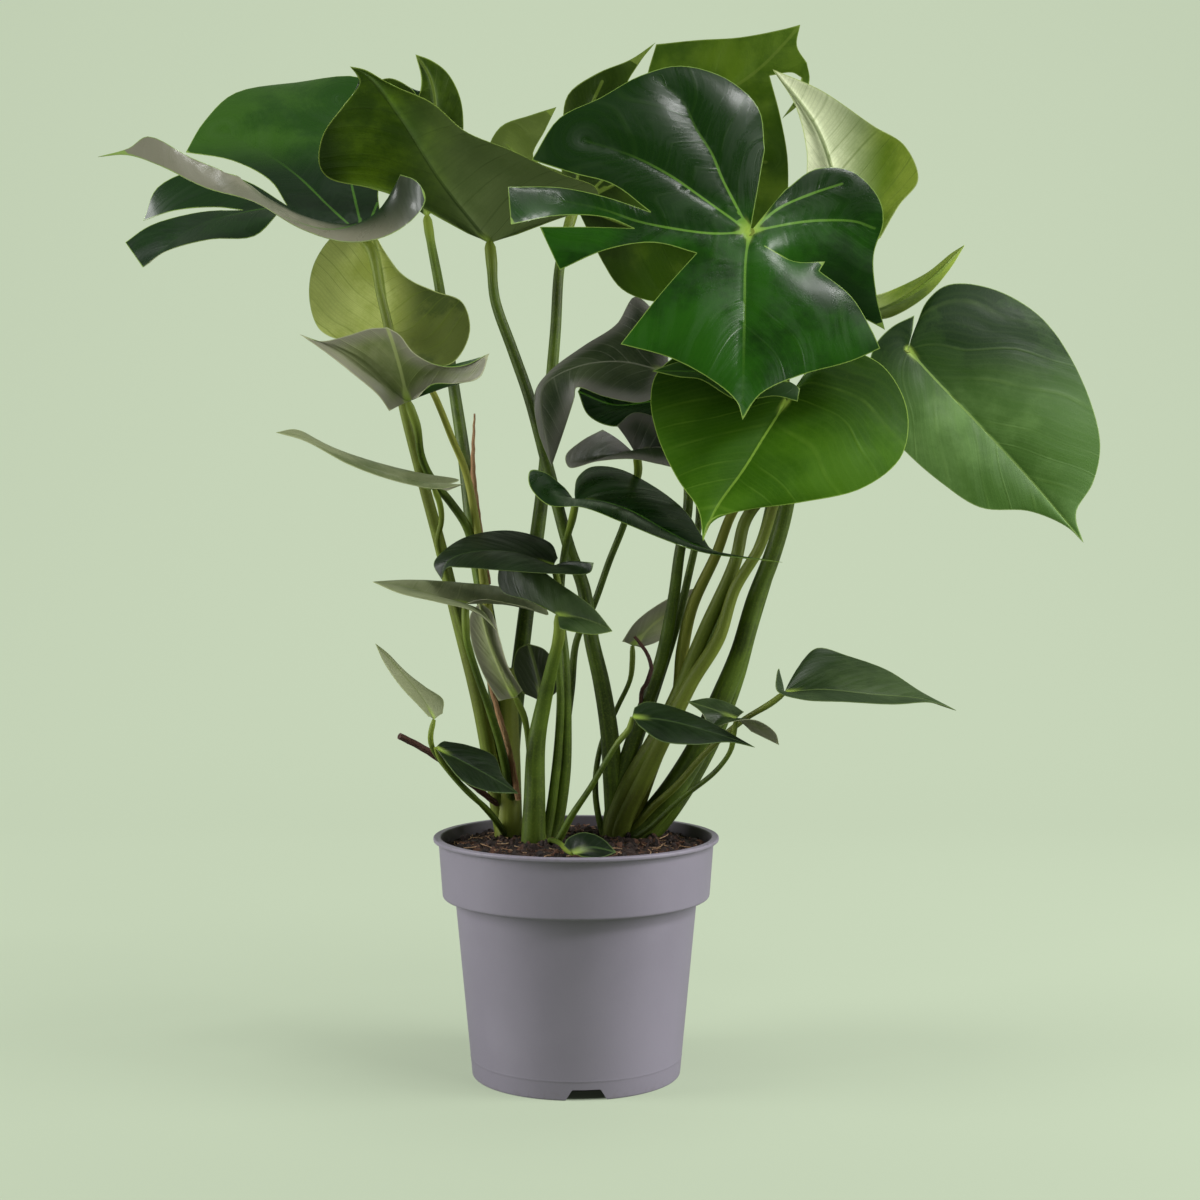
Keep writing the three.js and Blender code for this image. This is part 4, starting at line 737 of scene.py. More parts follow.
def blade_columns(leaf, side, shares):
    """One half's columns: their starts on the midrib, ends on the margin, and runs; how many fan out."""
    rows = edge_rows(leaf, side)
    fan = leaf["fan"]["ab".index(side)]
    last = len(rows) - 1
    edge = margin_curve(rows)
    rib = rib_points(leaf)
    fanned = [i / FAN_STEPS for i in range(fan * FAN_STEPS)]
    starts = [rib[0]] * len(fanned) + [curve_point(rib, w * (len(rib) - 1)) for w in shares]
    ends = [edge(s) for s in fanned] + [edge(fan + w * (last - fan)) for w in shares]
    turn = lengths_along(np.array(ends[:len(fanned) + 1]))
    along = [FAN_RUN * (t - turn[-1]) for t in turn[:-1]]
    run = lengths_along(sampled(rib, RUN_SAMPLES))
    along += list(np.interp(shares, np.linspace(0, 1, RUN_SAMPLES), run))
    return np.array(starts), np.array(ends), np.array(along), len(fanned)


def column_shares(leaf):
    """Where the columns stand along the midrib: evenly, but with one at each sharp corner."""
    shares = list(np.linspace(0, 1, COLUMNS))
    for side, fan in zip("ab", leaf["fan"]):
        rows = edge_rows(leaf, side)
        last = len(rows) - 1
        corners = [(i - fan) / (last - fan) for i, row in enumerate(rows) if len(row) > 3 and i > fan]
        clear = [w for w in shares if all(abs(w - c) > CORNER_CLEARANCE for c in corners) or w in (0, 1)]
        shares = clear + corners
    return sorted(shares)


print("columns of the heart-shaped leaf:", len(column_shares(LEAVES["leaf_centre_heart"])))

# %% Grid blades
ACROSS, ACROSS_POWER = 14, 1.25
ARCH, EASE_ROUNDS = 0.05, 10
RIB_SAMPLES, FINE = 120, 0.5


def grid_blade(leaf):
    """A whole blade's middle surface: points in millimetres, triangles and the three measures."""
    shares = column_shares(leaf)
    across = np.linspace(0, 1, ACROSS + 1) ** ACROSS_POWER
    points, along, faces, margins = [], [], [], []
    numbers = {}

    def number(point, run, key):
        """The number of a point, which is added when its key is new."""
        if key not in numbers:
            numbers[key] = len(points)
            points.append(point)
            along.append(run)
        return numbers[key]

    for side in "ab":
        starts, ends, runs, fans = blade_columns(leaf, side, shares)
        reach = np.linalg.norm(ends - starts, axis=1)
        grid = starts[:, None] + (ends - starts)[:, None] * across[None, :, None]
        grid += unit(leaf["up"]) * (ARCH * reach[:, None] * np.sin(np.pi * across)[None, :])[:, :, None]
        for _ in range(EASE_ROUNDS):
            grid[1:-1, 1:-1] = 0.5 * grid[1:-1, 1:-1] + 0.25 * (grid[:-2, 1:-1] + grid[2:, 1:-1])
        columns = []
        for i in range(len(starts)):
            tip = ("tip",) if i == len(starts) - 1 else None
            column = [number(grid[i, 0], max(runs[i], 0), tip or ("rib", max(i - fans, 0)))]
            column += [number(grid[i, j], runs[i], tip or (side, i, j)) for j in range(1, ACROSS + 1)]
            columns.append(column)
        for one, two in zip(columns[:-1], columns[1:]):
            for j in range(ACROSS):
                for face in ((one[j], two[j], two[j + 1]), (one[j], two[j + 1], one[j + 1])):
                    if len(set(face)) == 3:
                        faces.append(face if side == "a" else face[::-1])
        margins.append(np.vstack([grid[0, 0], ends]))
    points = np.array(points)
    off = distance_to(points, resampled(sampled(rib_points(leaf), RIB_SAMPLES), FINE))
    rim = distance_to(points, np.vstack([resampled(m, FINE) for m in margins]))
    return points, np.array(faces), {"along": np.array(along), "off": off, "rim": rim}


print("cells across each half:", ACROSS)

# %% [markdown]
# ## Cut blades
#
# The three oldest leaves are split into strips, so their halves can't be swept by straight veins. Here
# the outline is filled in the blade's own plane by a constrained triangulation: the margins, the
# midrib and the main veins are kept as edges, and a grid of points fills the rest. The height of the
# inner points is solved for as a stretched skin would hang between margins and midrib, and the skin
# is puffed up a little between the main veins, as the living blade is. The main veins are listed
# here for each side; all of them start at the join.

# %% Main veins
VEINS = {
    "leaf_front_main": [
        ("a", [[118, -66, 740], [110, -56, 762], [98, -46, 783], [88, -36, 807], [77, -30, 818],
            [68, -24, 826]]),
        ("a", [[103, -70, 721], [77, -62, 741], [51, -55, 756], [30, -50, 764], [8, -44, 770]]),
        ("a", [[110, -79, 690], [79, -77, 694], [50, -73, 700], [20, -72, 712], [-20, -66, 720]]),
        ("b", [[175, -72, 700], [197, -69, 702], [223, -68, 700], [238, -72, 694]]),
        ("b", [[164, -72, 714], [192, -66, 727], [214, -62, 734]]),
    ],
    "leaf_back_large": [
        ("a", [[-22, 108, 762], [-45, 100, 782], [-62, 96, 797]]),
        ("a", [[2, 98, 785], [10, 80, 822], [22, 66, 846]]),
        ("b", [[40, 110, 730], [88, 106, 712], [132, 108, 700]]),
        ("b", [[50, 96, 770], [110, 76, 775], [165, 70, 775]]),
    ],
    "leaf_far_left": [
        ("b", [[-186, 20, 728], [-196, 50, 765], [-204, 85, 812], [-212, 112, 844]]),
        ("b", [[-206, 14, 722], [-240, 40, 756], [-280, 66, 790], [-310, 84, 812]]),
        ("b", [[-168, 20, 728], [-160, 50, 768]]),
        ("a", [[-178, -30, 690], [-196, -62, 688], [-228, -84, 698]]),
        ("a", [[-212, -34, 700], [-250, -70, 718], [-290, -96, 736]]),
    ],
}
print("cut blades:", ", ".join(VEINS))

# %% Plane and skin
COT_LEAST, COT_MOST = 0.03, 20
TINY_AREA = 1e-6


def inside(points, outline):
    """Which points of the plane lie inside a closed outline."""
    x, y = points[:, 0], points[:, 1]
    hit = np.zeros(len(points), bool)
    for (x0, y0), (x1, y1) in zip(outline, np.roll(outline, -1, axis=0)):
        crosses = (y0 > y) != (y1 > y)
        if y1 != y0:
            hit ^= crosses & (x < (x1 - x0) * (y - y0) / (y1 - y0) + x0)
    return hit


def twice_areas(a, b, c):
    """Twice the areas of flat triangles, below zero for those that turn clockwise."""
    return (b - a)[:, 0] * (c - a)[:, 1] - (b - a)[:, 1] * (c - a)[:, 0]


def skin_matrix(flat, faces):
    """The stretched-skin matrix of a flat triangulation, and the share of the area at each point."""
    count = len(flat)
    matrix = np.zeros((count, count))
    area = np.zeros(count)
    for i, j, k in ((0, 1, 2), (1, 2, 0), (2, 0, 1)):
        a, b, c = flat[faces[:, i]], flat[faces[:, j]], flat[faces[:, k]]
        double = np.abs(twice_areas(a, b, c))
        cot = ((b - a) * (c - a)).sum(axis=1) / np.maximum(double, TINY_AREA)
        cot = np.clip(cot, COT_LEAST, COT_MOST) / 2
        for row, column, sign in ((j, k, -1), (k, j, -1), (j, j, 1), (k, k, 1)):
            np.add.at(matrix, (faces[:, row], faces[:, column]), sign * cot)
        np.add.at(area, faces[:, i], double / 6)
    return matrix, area


def solved(matrix, load, held, values):
    """Solve the skin with some points held at given values."""
    free = ~held
    full = np.where(held, values, 0.0)
    right = load[free] - matrix[np.ix_(free, held)] @ full[held]
    full[free] = np.linalg.solve(matrix[np.ix_(free, free)], right)
    return full


print("skin cotangents kept between", COT_LEAST, "and", COT_MOST)

# %% [markdown]
# Each side of a cut blade is filled region by region. A region is what lies between the join, one
# stretch of the margin and the midrib. Where strips overlap, the side is divided by a straight chord
# from the join to the inner end of the cut.

# %% Plane of a cut blade
FILL_SPACING, ROW_SHARE, LINE_SPACING = 4.6, 0.866, 3.5
MARGIN_STEPS, LINE_SAMPLES = 5, 60
VEIN_CLEARANCE, FEWEST_VEIN_POINTS = 2.5, 3
OVERLAP_MARK = 2
INSIDE_ONLY, SAME_POINT = 1, 1e-5


def filling_grid(outline):
    """Staggered rows of points inside a flat outline."""
    low, high = outline.min(axis=0), outline.max(axis=0)
    across = np.arange(low[0], high[0], FILL_SPACING)
    upward = np.arange(low[1], high[1], FILL_SPACING * ROW_SHARE)
    grid = np.array([(x + FILL_SPACING * 0.5 * (k % 2), y) for k, y in enumerate(upward) for x in across])
    return grid[inside(grid, outline)]


def blade_plane(leaf):
    """The plane of a cut blade: the way to its tip, the way across and the way up."""
    up = unit(leaf["up"])
    way = np.array(leaf["rib"][-1], float) - np.array(leaf["join"], float)
    way = unit(way - up * way.dot(up))
    return way, np.cross(up, way), up


def flat_points(points, plane):
    """Points as they lie in a plane."""
    points = np.asarray(points, float)
    return np.stack([points @ plane[0], points @ plane[1]], axis=1)


print("filling grid:", FILL_SPACING, "mm")

# %% Fill a cut blade
def triangulated(name, leaf, plane):
    """A cut blade's points with what is known of each, its triangles, margins and vein lines."""
    way, side_way, up = plane
    join = np.array(leaf["join"], float)
    rib = resampled(sampled(rib_points(leaf), LINE_SAMPLES), LINE_SPACING)
    tip = len(rib) - 1
    points, held, veined, runs = [], [], [], []
    faces, margins, vein_lines = [], [], [resampled(rib, FINE)]

    def add(new, is_held=False, vein_runs=None):
        """Add points; those of the midrib and the veins come with their runs. Gives their numbers."""
        first = len(points)
        points.extend(new)
        held.extend([is_held] * len(new))
        veined.extend([vein_runs is not None] * len(new))
        runs.extend([0.0] * len(new) if vein_runs is None else vein_runs)
        return list(range(first, first + len(new)))

    def fill(loop, veins):
        """Triangulate one region inside a loop of point numbers."""
        outline = flat_points([points[i] for i in loop], plane)
        grid = filling_grid(outline)
        blockers, constraints, numbers = [outline], [], list(loop)
        for vein in veins:
            line = resampled(sampled([join] + as_points(vein), LINE_SAMPLES), LINE_SPACING)
            clear = distance_to(line, margins[-1]) > VEIN_CLEARANCE
            keep = inside(flat_points(line, plane), outline) & clear
            kept = [i for i in range(1, len(line)) if keep[i]]
            if len(kept) < FEWEST_VEIN_POINTS:
                continue
            chain = [0] + list(range(len(numbers), len(numbers) + len(kept)))
            numbers.extend(add(line[kept], vein_runs=list(lengths_along(line)[kept])))
            constraints.extend(zip(chain[:-1], chain[1:]))
            blockers.append(flat_points(line[kept], plane))
            vein_lines.append(resampled(line[[0] + kept], FINE))
        gaps = np.sqrt(((grid[:, None] - np.vstack(blockers)[None]) ** 2).sum(axis=2)).min(axis=1)
        grid = grid[gaps > FILL_SPACING * 0.5]
        flat = flat_points([points[i] for i in numbers], plane)
        flat = [Vector(p) for p in flat] + [Vector(p) for p in grid]
        border = [list(range(len(loop)))]
        result = delaunay_2d_cdt(flat, constraints, border, INSIDE_ONLY, SAME_POINT)
        place = []
        for spot, origin in zip(result[0], result[3]):
            given = [o for o in origin if o < len(numbers)]
            if given:
                place.append(numbers[given[0]])
            else:
                place += add([way * spot.x + side_way * spot.y + up * join.dot(up)])
        faces.extend([place[v] for v in face] for face in result[2])

    add(rib, True, list(lengths_along(rib)))
    for side in "ab":
        rows = edge_rows(leaf, side)
        curve = margin_curve(rows)
        edge = np.array([curve(i / MARGIN_STEPS) for i in range((len(rows) - 1) * MARGIN_STEPS)])
        margins.append(np.vstack([join, edge, rib[-1]]))
        margin = add(edge, True) + [tip]
        splits = [i * MARGIN_STEPS for i, row in enumerate(rows) if row[3:] == [OVERLAP_MARK]]
        chords = {}
        for split in splits:
            chord = resampled(np.array([join, edge[split]]), LINE_SPACING)
            chords[split] = add(chord[1:-1])
        chords[len(margin) - 1] = list(range(1, tip))
        bounds = [0] + splits + [len(margin) - 1]
        for start, end in zip(bounds[:-1], bounds[1:]):
            loop = [0] + chords.get(start, []) + margin[start:end + 1] + chords[end][::-1]
            fill(loop, [vein for vein_side, vein in VEINS[name] if vein_side == side])
    faces = [face for face in faces if len(set(face)) == 3]
    return [np.array(rows) for rows in (points, held, veined, runs, faces)], margins, vein_lines


far_plane = blade_plane(LEAVES["leaf_far_left"])
(some, *_, cells), _, _ = triangulated("leaf_far_left", LEAVES["leaf_far_left"], far_plane)
print("the far left blade is filled with", len(some), "points and", len(cells), "triangles")

# %% Lift a cut blade
PUFF = 5.0


def filled_blade(name, leaf):
    """A cut blade's middle surface: filled in its plane, then lifted as a skin."""
    way, side_way, up = plane = blade_plane(leaf)
    (points, held, veined, runs, faces), margins, vein_lines = triangulated(name, leaf, plane)
    flat = flat_points(points, plane)
    clockwise = twice_areas(*(flat[faces[:, k]] for k in range(3))) < 0
    faces[clockwise] = faces[clockwise][:, ::-1]
    used = np.zeros(len(points), bool)
    used[faces] = True
    faces = (np.cumsum(used) - 1)[faces]
    points, flat, held, veined, runs = (rows[used] for rows in (points, flat, held, veined, runs))
    zeros = np.zeros(len(flat))
    matrix, area = skin_matrix(flat, faces)
    height = solved(matrix, zeros, held, points @ up)
    puff = solved(matrix, area, held | veined, zeros)
    height += PUFF * np.maximum(puff, 0) / puff.max()
    along = solved(matrix, zeros, veined, runs)
    points = flat[:, :1] * way + flat[:, 1:] * side_way + height[:, None] * up
    off = distance_to(flat, flat_points(np.vstack(vein_lines), plane))
    rim = distance_to(points, np.vstack([resampled(m, FINE) for m in margins]))
    return points, faces, {"along": along, "off": off, "rim": rim}


print("cut blades are puffed up by", PUFF, "mm")

# %% [markdown]
# ## From a surface to a blade
#
# A blade is about 0.75 mm thick and thinner at its margin. The middle surface gets two faces and a
# thin wall round the margin. The main veins are sunk on the glossy side and stand proud as ridges
# underneath, and between the side veins the blade is quilted. This is real relief in the mesh, so
# that it shows in outline and in the gloss; only the finest net of veins is left to the finish. The
# side veins are numbered by a fourth measure, the phase, which sways a little as living veins do.

# %% Two faces and a wall
BLADE_THICKNESS = 0.75
MARGIN_SHARE, MARGIN_REACH = 0.35, 1.5
RIB_RIDGE, RIDGE_WIDTH, RIDGE_SPREAD = 1.5, 1.2, 1.6
RIB_GROOVE, GROOVE_WIDTH = 0.5, 1.8
RIB_START, RIB_LEAST, RIB_FADE = 1.25, 0.25, 4
QUILT, QUILT_LEVEL = 0.34, 0.6
CALM_AT_RIM, CALM_AT_RIB = 9, 7
SWAYS = ((2.2, (0.045, 0.03, 0.05)), (1.4, (-0.09, 0.05, 0.07)))
UNEVEN, UNEVEN_PACE = 0.16, 2.3


def long_normals(points, faces):
    """Each triangle's normal, as long as twice its area."""
    a, b, c = (points[faces[:, k]] for k in range(3))
    return np.cross(b - a, c - a)


def point_normals(points, faces):
    """Area-weighted normals of a triangle mesh."""
    normals = np.zeros_like(points)
    for k in range(3):
        np.add.at(normals, faces[:, k], long_normals(points, faces))
    return normals / np.maximum(np.linalg.norm(normals, axis=1), 1e-9)[:, None]


def two_sided(points, faces, measures, look):
    """Both faces of a blade and the wall between, with the relief of its veins."""
    normals = point_normals(points, faces)
    off, along, rim = measures["off"], measures["along"], measures["rim"]
    length = max(along.max(), 1)
    strength = np.clip(RIB_START - along / length, RIB_LEAST, 1) * np.clip(rim / RIB_FADE, 0, 1)
    ridge_width = RIDGE_WIDTH + RIDGE_SPREAD * strength
    ridge = RIB_RIDGE * strength * np.exp(-(off / ridge_width) ** 2) * look["scale"]
    groove = RIB_GROOVE * strength * np.exp(-(off / GROOVE_WIDTH) ** 2) * look["scale"]
    sway = sum(size * np.sin(points @ np.array(pace)) for size, pace in SWAYS)
    phase = (along - look["tilt"] * off + sway) / look["spacing"]
    phase += UNEVEN * np.sin(phase * UNEVEN_PACE)
    measures["phase"] = phase
    calm = np.clip(rim / CALM_AT_RIM, 0, 1) * np.clip(off / CALM_AT_RIB, 0, 1)
    quilt = QUILT * look["quilt"] * (np.abs(np.sin(np.pi * phase)) - QUILT_LEVEL) * calm
    half = BLADE_THICKNESS / 2 * np.clip(MARGIN_SHARE + rim / MARGIN_REACH, 0, 1)
    top = points + normals * (half + quilt - groove)[:, None]
    under = points + normals * (quilt - half - ridge)[:, None]
    count, top_faces = len(points), faces.tolist()
    edges = dict.fromkeys(pair for a, b, c in top_faces for pair in ((a, b), (b, c), (c, a)))
    wall = [(a, b) for a, b in edges if (b, a) not in edges]
    under_faces = [[a + count, c + count, b + count] for a, b, c in top_faces]
    wall_faces = [[b, a, a + count, b + count] for a, b in wall]
    sides = [0] * len(faces) + [1] * (len(faces) + len(wall))
    return np.vstack([top, under]), top_faces + under_faces + wall_faces, sides


print("blade thickness:", BLADE_THICKNESS, "mm, ribs", RIB_RIDGE, "mm proud")

# %% Mesh objects
SHARP_EDGE = 40


def mesh_object(name, points, faces, measures=None, materials=(), sides=None, sharp=SHARP_EDGE):
    """A mesh object in metres from points in millimetres, with measures as attributes."""
    mesh = bpy.data.meshes.new(name)
    mesh.from_pydata((np.asarray(points) * MM).tolist(), [], faces)
    for key, values in (measures or {}).items():
        layer = mesh.attributes.new(key, "FLOAT", "POINT")
        layer.data.foreach_set("value", np.asarray(values, np.float32))
    for material in materials:
        mesh.materials.append(material)
    if sides is not None:
        mesh.polygons.foreach_set("material_index", sides)
    mesh.shade_smooth()
    mesh.set_sharp_from_angle(angle=math.radians(sharp))
    mesh.update()
    return placed(name, mesh)


print("edges are sharp from", SHARP_EDGE, "degrees")

# %% [markdown]
# ## Vein pattern
#
# All blades share one pattern of veins, so it is a node group that every leaf finish places with its
# own values. It reads the four measures of the mesh and puts out masks: the midrib and main veins,
# the side veins that slant forward from them, the fine net between, the pale margin, and the bright
# junction at the stalk. Streaks and a height for the relief come with them.

# %% Node groups
def new_group(name, inputs, outputs):
    """A shader node group with inputs (name, value), a vector where the value is None."""
    group = bpy.data.node_groups.new(name, "ShaderNodeTree")
    for label, value in inputs:
        kind = "NodeSocketVector" if value is None else "NodeSocketFloat"
        socket = group.interface.new_socket(label, in_out="INPUT", socket_type=kind)
        if value is not None:
            socket.default_value = value
    for label in outputs:
        group.interface.new_socket(label, in_out="OUTPUT", socket_type="NodeSocketFloat")
    return group, group.nodes.new("NodeGroupInput").outputs, group.nodes.new("NodeGroupOutput").inputs


def line_mask(tree, phase, near, far):
    """Lines where a phase is whole, full up to one width and gone at the other."""
    return spread(tree, calc(tree, "PINGPONG", phase, 0.5), near, far, 1.0, 0.0)


print("node groups so far:", len(bpy.data.node_groups))

# %% Vein group
vein_group, given, result = new_group(
    "leaf_veins", [("Rib Width", 0.0010), ("Margin Width", 0.0007), ("Fade", 0.4)],
    ("Main", "Side", "Fine", "Margin", "Junction", "Streaks", "Height"))
g = vein_group
place = object_place(g)
along, off, rim = (times(g, attribute(g, key), MM) for key in ("along", "off", "rim"))
phase = attribute(g, "phase")
broken = spread(g, noise(g, place, 30.0, 2.0), 0.35, 0.65, 0.25, 1.0)
side = times(g, line_mask(g, phase, 0.012, 0.065), broken)
fine_lines = line_mask(g, times(g, phase, 5.3), 0.02, 0.28)
strip = {"X": phase, "Y": times(g, off, 16.0), "Z": times(g, along, 3.0)}
streaks = noise(g, node(g, "ShaderNodeCombineXYZ", strip).outputs[0], 1.9, 5.0, 0.6)
net = node(g, "ShaderNodeTexVoronoi", {"Vector": place, "Scale": 260.0}, feature="DISTANCE_TO_EDGE")
net_lines = spread(g, net.outputs["Distance"], 0.0, 0.10, 1.0, 0.0)
fine = calc(g, "MAXIMUM", times(g, fine_lines, 0.6), times(g, net_lines, 0.45))
near_join = spread(g, along, 0.0, 0.016, 1.0, 0.0)
rib_half = times(g, given["Rib Width"], calc(g, "MULTIPLY_ADD", near_join, 1.3, 0.85))
faded = times(g, spread(g, along, 0.03, 0.14), given["Fade"])
rib_line = spread(g, off, rib_half, times(g, rib_half, 1.9), 1.0, 0.0)
margin_inner, margin_outer = (times(g, given["Margin Width"], share) for share in (0.6, 1.8))
for label, socket in {
        "Main": times(g, rib_line, calc(g, "SUBTRACT", 1.0, faded)), "Side": side, "Fine": fine,
        "Margin": spread(g, rim, margin_inner, margin_outer, 1.0, 0.0),
        "Junction": times(g, near_join, spread(g, off, 0.0, 0.005, 1.0, 0.0)), "Streaks": streaks,
        "Height": calc(g, "ADD", times(g, side, 0.5), times(g, fine, 0.22))}.items():
    g.links.new(socket, result[label])
print("vein group nodes:", len(g.nodes))

# %% [markdown]
# ## Leaf finishes
#
# The upper side of a grown leaf is dark, waxy and glossy; a young one is fresher green. The underside
# is duller and more olive, and where light falls through it, it turns yellow-green. Each finish mixes
# two greens by soft patches, then lays the veins and the margin over them. The gloss is broken by
# faint streaks of dust and wax, so no highlight is one clean shape.

# %% Mottle group
mottle_group, given, result = new_group("mottle", [("Vector", None), ("Scale", 30.0)], ("Patches", "Specks"))
g = mottle_group
broad = noise(g, given["Vector"], times(g, given["Scale"], 0.35), 2.0)
small = noise(g, given["Vector"], given["Scale"], 5.0, 0.65)
specks = noise(g, given["Vector"], times(g, given["Scale"], 14.0), 3.0)
mixed = calc(g, "MULTIPLY_ADD", small, 0.4, times(g, broad, 0.6))
g.links.new(spread(g, mixed, 0.36, 0.64), result["Patches"])
g.links.new(spread(g, specks, 0.5, 0.7), result["Specks"])
print("mottle group nodes:", len(g.nodes))

# %% Blade finish
YELLOW_GREEN = srgb(150, 175, 70)
BLADE_MOTTLE, BLADE_BUMP_DEPTH, COAT_ROUGHNESS = 26.0, 0.0006, 0.16


def group_outputs(tree, group, inputs):
    """Place a node group in a tree with its own values."""
    return node(tree, "ShaderNodeGroup", inputs, node_tree=group).outputs


def blade_finish(name, colours, rough, veins, side_share, net_share, bump,
                 specular=0.35, coat=0.0, shade_and_light_tints=(), edge_sheen=None):
    """One side of a blade: two greens, veins and margin over them, and a broken gloss."""
    deep, light, vein, margin = (srgb(*colour) for colour in colours)
    material, tree, shader = new_material(name)
    place = object_place(tree)
    pattern = group_outputs(tree, vein_group, veins)
    mottle = group_outputs(tree, mottle_group, {"Vector": place, "Scale": BLADE_MOTTLE})
    mixed = calc(tree, "MULTIPLY_ADD", pattern["Streaks"], 0.25, times(tree, mottle["Patches"], 0.75))
    shade = spread(tree, mixed, 0.2, 0.9)
    colour = blend_colours(tree, shade, deep, light)
    # Painted light and shade: each tint lightens or darkens one part of the blade, by its place in the
    # object.
    for axis, low, high, tint in shade_and_light_tints:
        part = spread(tree, along_axis(tree, place, axis), low, high, 1.0, 0.0)
        colour = laid_over(tree, colour, srgb(*tint), part, calc(tree, "ADD", shade, 0.8, clamp=True))
    # Painted sheen: a grey that is strongest at the margin and fades out over the given reach.
    if edge_sheen:
        reach, tone = edge_sheen
        near_edge = spread(tree, attribute(tree, "rim"), 1.0, reach, 0.8, 0.0)
        colour = blend_colours(tree, near_edge, colour, srgb(*tone))
    for mask, share, over in (("Fine", net_share, vein), ("Side", side_share, vein), ("Main", 0.85, vein),
                              ("Junction", 0.8, YELLOW_GREEN), ("Margin", 0.85, margin)):
        colour = laid_over(tree, colour, over, pattern[mask], share)
    gloss = spread(tree, pattern["Streaks"], 0.35, 0.65, rough - 0.06, rough + 0.16)
    relief = calc(tree, "MULTIPLY_ADD", pattern["Streaks"], 0.9, pattern["Height"])
    set_surface(tree, shader, colour, gloss, relief, bump, BLADE_BUMP_DEPTH)
    shader.inputs["Specular IOR Level"].default_value = specular
    shader.inputs["Coat Weight"].default_value = coat
    shader.inputs["Coat Roughness"].default_value = COAT_ROUGHNESS
    return material


print("junction colour:", [round(c, 3) for c in YELLOW_GREEN[:3]])

# %% [markdown]
# A row of the table names the colours of the deep and light patches, the veins and the margin, then
# the roughness, the widths in the vein group, the strengths of the side veins, the net and the bump,
# and what else sets this finish apart. A tint is painted light or painted shade along one axis, as the
# comment at its row says: full at the first of its two places, gone at the second. An edge sheen is a
# painted grey sheen fading in from the margin.

# %% Table of leaf finishes
VEINS_TOP = {"Rib Width": 0.0008, "Margin Width": 0.00055}
VEINS_CUT = {**VEINS_TOP, "Rib Width": 0.0009, "Fade": 0.95}
VEINS_UNDER = {"Rib Width": 0.0011, "Margin Width": 0.0006}
PALE_VEIN, LIME_VEIN = (72, 116, 36), (122, 156, 56)
RIM_GREEN, LIME_RIM, OLIVE_RIM = (122, 150, 66), (128, 156, 66), (130, 152, 64)

